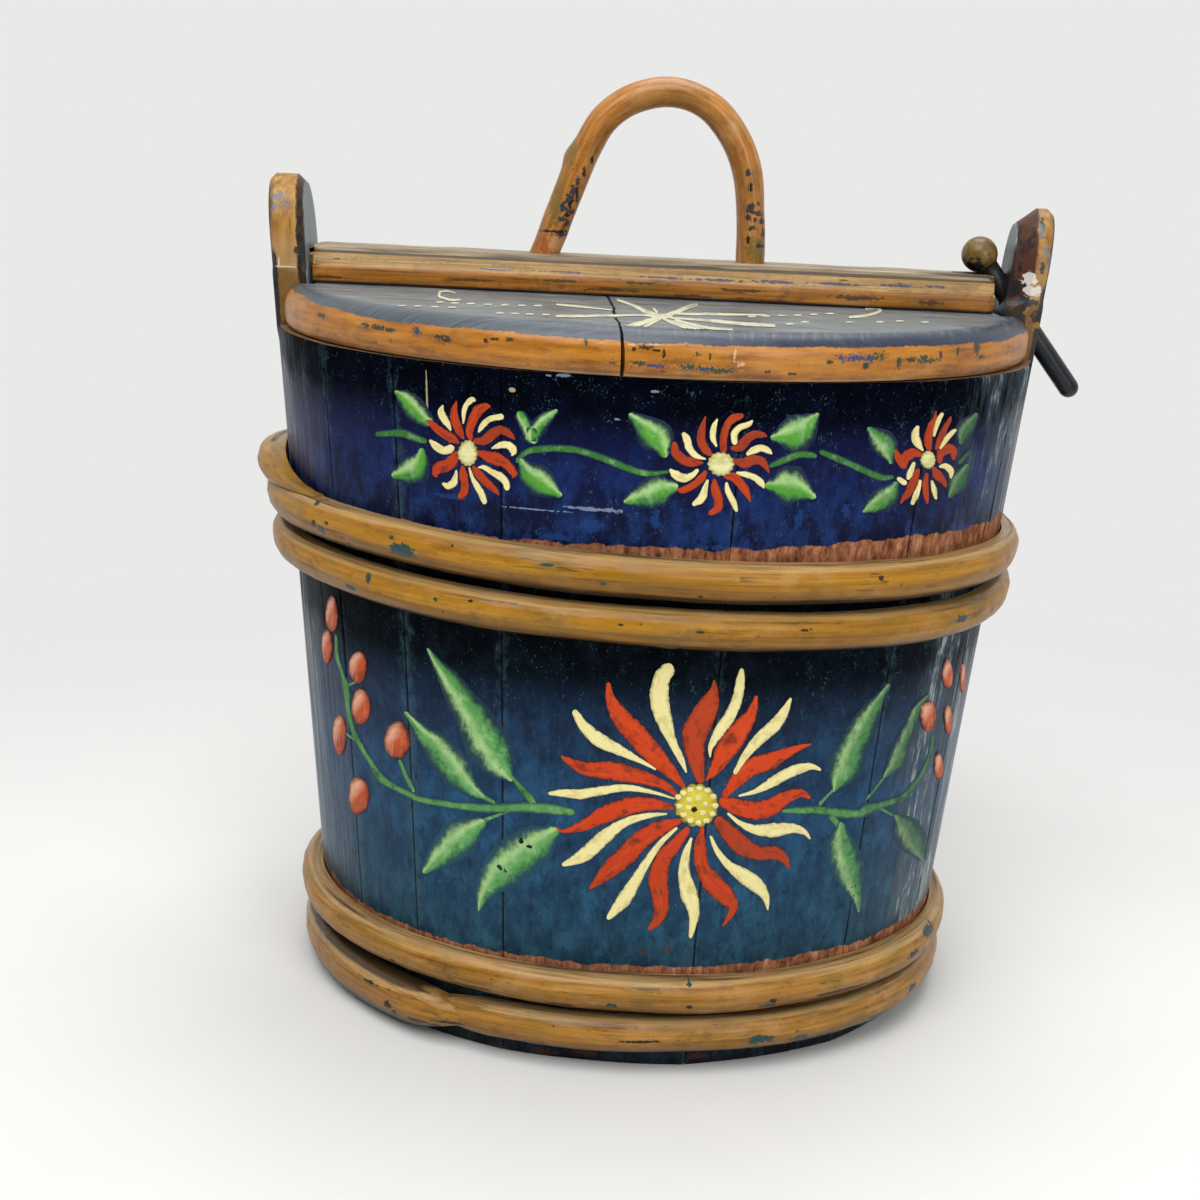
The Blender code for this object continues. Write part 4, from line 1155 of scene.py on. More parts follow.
# Grey-blue oil paint on the top, scoured pale along the boards; ochre on the rim, chipped to the blue
def makeLidPaint():
    material, tree, shader = newMaterial("scoured_blue_and_ochre_lid_paint")
    place = paintPlace(tree)
    parts = addNode(tree, "SeparateXYZ", place).outputs
    # top: scratches run along X, 1 mm apart
    scour = addGrain(tree, place, (30, 900, 30), 6.0, 0.7)
    cloud = addGrain(tree, place, (26, 60, 60), 5.0, 0.65)
    top = addNode(tree, "ValToRGB", scour, (
        (0.34, "#1d252e"), (0.44, "#434c54"), (0.54, "#666f74"), (0.66, "#a2a8a6")))
    top = layOver(tree, top, "#6a6d5e", cloud, 0.50, 0.64, 0.55)
    mottle = addGrain(tree, place, (60, 110, 110), 6.0, 0.72, 3.3)
    top = layOver(tree, top, "#22304a", mottle, 0.55, 0.70, 0.70)
    # a darker blue strip along the front border, stronger towards the right
    span = addNode(tree, "VectorMath", (place, (1 / lid["halfLength"], 1 / lid["halfDepth"], 0)), operation="MULTIPLY")
    moved = addNode(tree, "VectorMath", (span, (-middleX / lid["halfLength"], 0, 0)), operation="ADD")
    reach = addNode(tree, "VectorMath", moved, operation="LENGTH")
    hatch = addGrain(tree, place, (500, 60, 60), 3.0, 0.6, 1.2)
    top = layOver(tree, top, "#3c4650", reach, 0.925, 0.955, 0.75)
    border = fray(tree, reach, hatch, 0.035)
    stripped = whereAll(tree, (border, 0.940, 0.966), (parts["X"], -0.08, 0.03, 0.03, 0.80))
    top = layOver(tree, top, "#111c38", stripped, 0.0, 1.0, 1.0)
    # rim
    streak = (48, 48, 420)
    grain = addGrain(tree, place, streak, 5.0)
    rim = addNode(tree, "ValToRGB", grain, (
        (0.28, "#74430f"), (0.44, "#a16415"), (0.58, "#b27219"), (0.76, "#be873a")))
    soil = addGrain(tree, place, (55, 55, 150), 6.0, 0.72, 2.7)
    mixed = whereAll(tree, (parts["Z"], 0.3225, 0.3160), soil)
    rim = layOver(tree, rim, "#6b3d12", mixed, 0.40, 0.62, 0.75)
    rim = layOver(tree, rim, "#5f3a12", soil, 0.54, 0.70, 0.55)
    fleck = addGrain(tree, place, (150, 150, 260), 5.0, 0.7, 7.7)
    rim = layOver(tree, rim, "#243128", fleck, 0.645, 0.68, 0.85)
    tan = addGrain(tree, place, (45, 45, 120), 5.0, 0.7, 9.1)
    rim = layOver(tree, rim, "#bb8c50", tan, 0.54, 0.70, 0.4)
    rim = layOver(tree, rim, "#d9c7a2", parts["Z"], 0.3140, 0.3128, 0.45)
    # pale here is partly painted highlight
    for kind, code, ragged in (("brown", "#6b3d12", 0.9), ("chip", "#242b22", 0.6), ("blue", "#143a62", 1.0),
                               ("green", "#1c3f28", 1.0), ("pale", "#e2cda2", 0.6), ("hole", "#1a0d06", 0.5)):
        spots = [frontSpot(spot, frontOfLid, 0.03) for spot in lidMarks[kind]]
        rim = addSpots(tree, rim, place, code, spots, ragged * 1.7, 1100.0, lidStrength.get(kind, 0.95))
    # ragged border between the two
    wave = addGrain(tree, place, (55, 55, 55), 2.0, 0.5, 5.5)
    bristle = addGrain(tree, place, (700, 700, 90), 3.0, 0.6, 2.1)
    # the ochre climbs higher towards the left end
    climb = addNode(tree, "MapRange", (parts["X"], -0.135, -0.175, 0, 0.0030))
    level = addNode(tree, "Math", (parts["Z"], climb), operation="SUBTRACT")
    level = fray(tree, fray(tree, level, wave, 0.0006), bristle, 0.0003)
    colour = layOver(tree, rim, top, level, lid["borderZ"] - 0.0002, lid["borderZ"] + 0.0002)
    finishPaint(tree, shader, colour, (scour, 0.24, 0.46), relief=scour, strength=0.5, depth=0.0004)
    return material


lidPaint = makeLidPaint()


def makeLidHalf(name, side):
    profile = lidProfile()
    corners = []
    count = lid["sides"]
    turns = [fullTurn * step / count for step in range(count)]
    for setback, z in profile:
        for angle in turns:
            lump = 0.00035 * lumpAt(math.cos(angle) * 7, math.sin(angle) * 7, z * 90)
            corners.append(Vector((
                middleX + (lid["halfLength"] - setback + lump) * math.cos(angle),
                (lid["halfDepth"] - setback + lump) * math.sin(angle), z)))
    shape = bmesh.new()
    made = [shape.verts.new(corner) for corner in corners]
    for face in gridFaces(len(profile), count, ring=True):
        shape.faces.new([made[corner] for corner in face])
    for row in (0, len(profile) - 1):
        outer = made[row * count:(row + 1) * count]
        setback, z = profile[row]
        for share in lid["rings"]:
            ring = [shape.verts.new((middleX + (lid["halfLength"] - setback) * share * math.cos(angle),
                                     (lid["halfDepth"] - setback) * share * math.sin(angle), z))
                    for angle in turns]
            for step in range(count):
                after = (step + 1) % count
                shape.faces.new((outer[step], outer[after], ring[after], ring[step]))
            outer = ring
        hub = shape.verts.new((middleX, 0, z))
        for step in range(count):
            shape.faces.new((outer[step], outer[(step + 1) % count], hub))
    edge = lid["crackX"] + side * lid["crackHalf"]
    bmesh.ops.bisect_plane(
        shape, geom=list(shape.verts) + list(shape.edges) + list(shape.faces), dist=1e-6,
        plane_co=(edge, 0, 0), plane_no=(side, 0, 0), clear_inner=True)
    rims = [line for line in shape.edges if line.is_boundary]
    filled = bmesh.ops.holes_fill(shape, edges=rims, sides=0)
    bmesh.ops.triangulate(shape, faces=filled["faces"])
    # the crack wanders, and so does everything within 25 mm of it, less and less
    for corner in shape.verts:
        x, y, z = corner.co
        near = max(0.0, 1 - abs(x - edge) / 0.025)
        wander = crackShift(y) + 0.0011 * lumpAt(y * 70, z * 60, 2.0)
        wide = 0.00055 * (0.7 + lumpAt(y * 40, z * 50, 9.0))
        corner.co.x += wander * near + side * wide * max(0.0, 1 - abs(x - edge) / 0.002)
    bmesh.ops.recalc_face_normals(shape, faces=shape.faces)
    mesh = bpy.data.meshes.new(name + "_painted")
    shape.to_mesh(mesh)
    shape.free()
    mesh.materials.append(lidPaint)
    mesh.shade_smooth()
    piece = bpy.data.objects.new(name + "_painted", mesh)
    scene.collection.objects.link(piece)
    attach(piece, "lid")
    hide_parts(name)
    end = middleX + side * lid["notchX"], middleX + side * 0.2
    shapes = [boxShape((min(end), -lid["notchHalf"], 0.30), (max(end), lid["notchHalf"], 0.345))]
    for number in ((1, 2) if side < 0 else (3, 4)):
        low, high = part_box(f"batten_peg_{number}")
        x = (low.x + high.x) / 2
        shapes.append(rodShape(Vector((x, 0, 0.305)), Vector((x, 0, 0.340)), 0.0032, 20))
    cutAway(piece, *joined(*shapes))


makeLidHalf("lid_board_left", -1)
makeLidHalf("lid_board_right", 1)
print("lid boards shaped")

# Batten, a pine moulding: square face, slanting tan side, a bead line and a flat top
batten = {
    "slot": 0.0180,  # how far the lock peg's slot reaches in from the right end
    "left": -0.1578 + middleX,
    "right": 0.1538 + middleX,
    "low": 0.3316,
    "halfWide": 0.014,
    "tall": 0.017,
}
# the pale lines below are a painted highlight along the edge between the face and the slant
battenMarks = (
    ("#c9bd9f", 1.0, ((395, 261.5, 80, 0.9), (330, 257.5, 50, 1.2), (470, 264.5, 60, 1.2), (812, 285, 44, 1.6),
                      (876, 287.4, 30, 1.4), (700, 277, 50, 1.2))),
    ("#14305c", 1.0, ((495, 269.5, 24, 1.6), (560, 272, 40, 1.4), (665, 278, 36, 1.8), (720, 280.5, 50, 2.4),
                      (780, 282.5, 46, 2.6), (840, 284.5, 50, 2.2), (900, 286, 40, 2.4), (935, 287, 20, 2.4))),
    ("#8fa0ad", 0.6, ((496, 269.0, 24, 1.2),)),
    ("#3f2810", 0.9, ((560, 281, 40, 3), (640, 283, 30, 2.6), (470, 280, 40, 3), (330, 277, 30, 3), (745, 291, 40, 3),
                      (860, 298, 50, 4), (610, 290, 50, 3), (930, 303, 30, 4), (690, 296, 40, 3))),
)


# (across, up) of the front half, from the foot to the middle of the top
def battenProfile():
    wide = batten["halfWide"]
    return [
        (wide - 0.0004, 0.0), (wide, 0.0005), (wide, 0.0030), (wide, 0.0056), (wide - 0.0002, 0.0071),
        (wide - 0.0005, 0.0077), (wide - 0.0009, 0.0080), (wide - 0.0013, 0.0090), (wide - 0.0019, 0.0108),
        (wide - 0.0026, 0.0128), (wide - 0.0029, 0.0137), (wide - 0.0033, 0.0141), (wide - 0.0038, 0.0141),
        (wide - 0.0041, 0.0135), (wide - 0.0044, 0.0135), (wide - 0.0047, 0.0142), (wide - 0.0051, 0.0156),
        (wide - 0.0057, 0.0166), (wide - 0.0065, 0.0170), (wide - 0.0080, 0.0170), (wide - 0.0095, 0.0168),
        (wide - 0.0105, 0.0170), (wide - 0.0125, 0.0169),
    ]


def frontOfBatten(x, y):
    return uprightHit(x, y, -0.0135)


# Tan oil paint on a planed pine moulding: brown face, pale scoured top with lines along the grain
def makeBattenPaint():
    material, tree, shader = newMaterial("tan_oil_paint_on_pine_moulding")
    place = paintPlace(tree)
    parts = addNode(tree, "SeparateXYZ", place).outputs
    streak = (20, 640, 640)
    grain = addGrain(tree, place, streak, 6.0, 0.65)
    face = addNode(tree, "ValToRGB", grain, (
        (0.30, "#43240a"), (0.44, "#865012"), (0.58, "#9c6418"), (0.76, "#ac7a34")))
    face = addWear(tree, face, place, streak, 0.45, 0.20, 0.95, 0.9, 0.7)
    slant = addNode(tree, "ValToRGB", grain, (
        (0.27, "#5c4120"), (0.44, "#97733c"), (0.60, "#b08c56"), (0.78, "#c4ab80")))
    slant = addWear(tree, slant, place, streak, 0.25, 0.45, 0.6, 0.8, 0.3)
    top = addNode(tree, "ValToRGB", grain, (
        (0.30, "#332817"), (0.42, "#6f5f45"), (0.56, "#97856a"), (0.74, "#b7a98e")))
    lines = addGrain(tree, place, (5, 420, 10), 2.0, 0.5, 3.0)
    top = layOver(tree, top, "#1f1810", lines, 0.60, 0.66, 0.85)
    waver = addGrain(tree, place, (60, 200, 200), 3.0)
    level = fray(tree, parts["Z"], waver, 0.0003)
    base = batten["low"]
    colour = layOver(tree, face, slant, level, base + 0.0078, base + 0.0082)
    colour = layOver(tree, colour, "#1d150c", parts["Z"], base + 0.0132, base + 0.0134, 0.85)
    colour = layOver(tree, colour, top, parts["Z"], base + 0.0141, base + 0.0144)
    # painted shadow: a black line along the foot, where the batten sits on the lid
    colour = layOver(tree, colour, "#0c0907", parts["Z"], base + 0.0015, base + 0.0008, 0.92)
    # the painted highlight lines are laid faint, the other marks strong
    for code, ragged, picked in battenMarks:
        spots = [frontSpot(spot, frontOfBatten, 0.006) for spot in picked]
        colour = addSpots(tree, colour, place, code, spots, ragged, 420.0, 0.35 if code == "#c9bd9f" else 0.8)
    finishPaint(tree, shader, colour, (grain, 0.28, 0.52), 0.34, colour)
    return material


def makeBatten():
    half = battenProfile()
    section = [(-across, up) for across, up in half] + [(across, up) for across, up in reversed(half)]
    count = len(section)
    stations = 110
    length = batten["right"] - batten["left"]
    corners = []
    for step in range(stations + 1):
        x = batten["left"] + length * step / stations
        fromEnd = min(x - batten["left"], batten["right"] - x)
        soft = max(0.0, 1 - fromEnd / 0.0022) ** 2 * 0.0009
        for across, up in section:
            lump = 0.00026 * lumpAt(x * 45, across * 120, up * 120)
            squeeze = 1 - soft / batten["halfWide"]
            rise = up * (1 - soft * 30) + (lump if up > 0.001 else 0)
            corners.append(Vector((x, (across + lump) * squeeze, batten["low"] + rise)))
    faces = tubeFaces(stations + 1, count)
    paint = makeBattenPaint()
    piece = addPiece("lid_batten_moulded", corners, faces, [paint], "lid", "ochre_paint",
                     ["lid_batten"], angle=28)
    seatEnd = batten["right"] - batten["slot"] + peg["bore"]
    cutAway(piece, *boxShape((seatEnd, -peg["bore"], 0.32), (batten["right"] + 0.02, peg["bore"], 0.36)))
    cutAway(piece, *rodShape(Vector((seatEnd, 0, 0.32)), Vector((seatEnd, 0, 0.36)), peg["bore"], 28))
    tongue = boxShape((hinge["x"] - 0.0038, -0.0059, 0.3362), (batten["left"] + 0.004, 0.0059, 0.3440))
    stub = addPiece("batten_tongue", *tongue, [paint], "lid", "ochre_paint", angle=20)
    edge = stub.modifiers.new("softened", "BEVEL")
    edge.width = 0.0008
    edge.segments = 2


makeBatten()
print("batten moulded")

# Handle, a bent branch
handle = {
    "radius": 0.0067,
    "span": 0.095,
    "rise": 0.0735,
    "leftShare": -0.325,
    "tail": 0.015,
    "lean": 0.155,
    "course": ((0.065, 0.24), (0.130, 0.47), (0.190, 0.66), (0.260, 0.82), (0.375, 0.940), (0.520, 1.0),
               (0.660, 0.985), (0.790, 0.900), (0.895, 0.740), (0.955, 0.560), (0.985, 0.330)),
    "sides": 32,
    "twig": (0.042, 0.0014),  # a cut twig on the left leg: height over the batten and how far it stands out
}
handleMarks = (
    ("#77602a", 1.0, ((556, 208, 12, 44), (757, 250, 22, 20), (572, 150, 10, 26))),
    ("#13283a", 1.0, ((573, 190, 7, 10), (569, 199, 9, 10), (565, 208, 9, 8), (571, 212, 10, 6), (562, 219, 8, 4),
                      (578, 182, 4, 8), (567, 224, 6, 5), (563, 235, 18, 5), (748, 172, 4, 10), (766, 190, 4, 14),
                      (750, 208, 8, 8), (757, 214, 10, 5), (748, 217, 5, 9), (762, 222, 6, 7), (752, 228, 8, 5),
                      (764, 233, 5, 8), (758, 203, 4, 4), (760, 246, 8, 5))),
    # the black mark low on the left leg, beside its foot, is painted shadow; the others are dark chips
    ("#100c09", 0.9, ((555.5, 231.5, 32, 2.8), (570, 205, 4, 10), (577, 195, 3, 14), (569, 245, 4, 22),
                      (584, 172, 3, 10), (566, 214, 4, 4), (751, 188, 3, 8), (767, 212, 3, 12), (755, 220, 4, 5),
                      (748, 240, 3, 10), (592, 160, 3, 8))),
    ("#9c5034", 0.8, ((544, 244, 7, 16),)),
    ("#c08a5c", 0.7, ((557, 244, 15, 15),)),
)


def frontOfHandle(x, y):
    return uprightHit(x, y, -handle["radius"] * 0.9)


def makeHandle():
    top = batten["low"] + batten["tall"]
    left = batten["left"] + (batten["right"] - batten["left"]) * (0.5 + handle["leftShare"] / 2)
    low = lid["low"] - handle["tail"]
    start = (left - handle["lean"] * handle["span"] * (top - low) / (handle["rise"] / 2), low)
    knots = [start, (left, top)]
    knots += [(left + across * handle["span"], top + up * handle["rise"]) for across, up in handle["course"]]
    right = left + handle["span"]
    knots += [(right, top), (right, low)]
    path = smoothPath(knots, 10)
    corners, places = [], []
    travelled = 0.0
    sides = handle["sides"]
    for index, (x, z) in enumerate(path):
        here = Vector((x, 0, z))
        before, after = path[max(index - 1, 0)], path[min(index + 1, len(path) - 1)]
        along = Vector((after[0] - before[0], 0, after[1] - before[1])).normalized()
        travelled += math.hypot(x - before[0], z - before[1])
        across = Vector((0, 1, 0))
        outward = across.cross(along).normalized()
        swell = 1 + 0.06 * lumpAt(travelled * 28, 3.0, 1.0)
        twigAt, twigOut = handle["twig"]
        twig = math.exp(-((z - top - twigAt) / 0.0045) ** 2) if x < left + handle["span"] / 2 else 0.0
        for step in range(sides):
            turn = fullTurn * step / sides
            flat = 1 - 0.035 * math.cos(turn * 3 + travelled * 9)
            lump = 0.04 * lumpAt(math.cos(turn) * 1.6, math.sin(turn) * 1.6, travelled * 60)
            radius = handle["radius"] * swell * (flat + lump)
            if z < top + 0.001:
                radius = min(radius, handle["radius"])
            radius += twigOut * twig * max(0.0, -math.cos(turn)) ** 3
            corners.append(here + (outward * math.cos(turn) + across * math.sin(turn)) * radius)
            places.append((travelled, math.cos(turn) * handle["radius"], math.sin(turn) * handle["radius"]))
    faces = tubeFaces(len(path), sides)
    # Glossy ochre oil paint on a peeled juniper branch: worn to tan, chipped to blue where hands hold
    paint, tree, shader = newMaterial("ochre_oil_paint_on_juniper_branch")
    place = paintPlace(tree, "alongPlace")
    streak = (46, 460, 460)
    grain = addGrain(tree, place, streak, 5.0)
    colour = addNode(tree, "ValToRGB", grain, (
        (0.27, "#7a4a17"), (0.44, "#a4692a"), (0.58, "#b27736"), (0.76, "#c39055")))
    colour = addWear(tree, colour, place, streak, 0.35, 0.45, 0.5, 0.7, 0.6)
    space = paintPlace(tree)
    for code, ragged, picked in handleMarks:
        spots = [frontSpot(spot, frontOfHandle, 0.009) for spot in picked]
        colour = addSpots(tree, colour, space, code, spots, ragged, 620.0, 0.9)
    finishPaint(tree, shader, colour, (grain, 0.16, 0.38), 0.34, colour)
    piece = addPiece("carry_handle_branch", corners, faces, [paint], "lid", "ochre_paint",
                     ["carry_handle"], angle=60)
    note(piece, "alongPlace", places)


makeHandle()
print("handle bent")

# Lock peg, turned and whittled
pegPaint = makeOchrePaint("blue_black_oil_paint_on_turned_peg", (26, 520, 520), (
    (0.25, "#05070a"), (0.50, "#0d141b"), (0.66, "#16222c"), (0.80, "#6b5a3a")),
    (0.15, 0.12, 0.5, 0.5, 0.3), (0.20, 0.42),
    (("#8a6c3a", 0.8, (((0.052, 0.002, -0.004), (0.012, 0.0008, 0.01)),
                       ((0.070, -0.001, -0.004), (0.006, 0.0010, 0.01)))),))
# the knob's black patch on its lower side is painted shade
knobPaint = makeOchrePaint("olive_oil_paint_on_knob", (70, 170, 170), (
    (0.25, "#32240f"), (0.42, "#5f4a20"), (0.58, "#77602e"), (0.78, "#9d8450")),
    (0.4, 0.4, 0.95, 0.3, 0.5), (0.20, 0.40),
    (("#120d07", 0.5, (((0.004, 0.0, -0.005), (0.0060, 0.01, 0.0042)),)),))


def makePeg():
    along, centre = peg["along"], peg["knob"]
    side = Vector((0, 1, 0))
    other = along.cross(side).normalized()
    outline = []
    radius, knob = peg["radius"], peg["knobRadius"]
    neck = math.sqrt(knob ** 2 - radius ** 2)
    for step in range(17):
        turn = math.pi * step / 16 * 0.80
        if -knob * math.cos(turn) > neck - 0.0005:
            break
        outline.append((-knob * math.cos(turn), max(knob * math.sin(turn), 0.0002)))
    outline.append((neck + 0.0004, radius))
    length = peg["length"]
    for step in range(1, 24):
        outline.append((neck + 0.0004 + (length - radius - neck) * step / 24, radius))
    for step in range(7):
        turn = math.pi / 2 * step / 6
        outline.append((length - radius + radius * math.sin(turn), max(radius * math.cos(turn), 0.0002)))
    sides = 32
    corners, places = [], []
    for way, reach in outline:
        for step in range(sides):
            turn = fullTurn * step / sides
            lump = 1 + 0.03 * lumpAt(math.cos(turn) * 1.3, math.sin(turn) * 1.3, way * 90)
            held = reach * min(lump, 1.0) if way > neck else reach * lump
            corners.append(centre + along * way + (side * math.cos(turn) + other * math.sin(turn)) * held)
            places.append((way, math.cos(turn) * 0.005, math.sin(turn) * 0.005))
    faces = gridFaces(len(outline), sides, ring=True)
    kinds = [1 if outline[index // sides][0] < neck - 0.001 else 0 for index in range(len(faces))]
    faces += [tuple(range(sides)), tuple(range(len(corners) - sides, len(corners)))]
    kinds += [1, 0]
    piece = addPiece("lock_peg_turned", corners, faces, [pegPaint, knobPaint], "lock_peg", "peg_paint",
                     ["lock_peg"], angle=50, kinds=kinds)
    note(piece, "alongPlace", places)
    note(piece, "spotPlace", places)


makePeg()
print("peg turned")

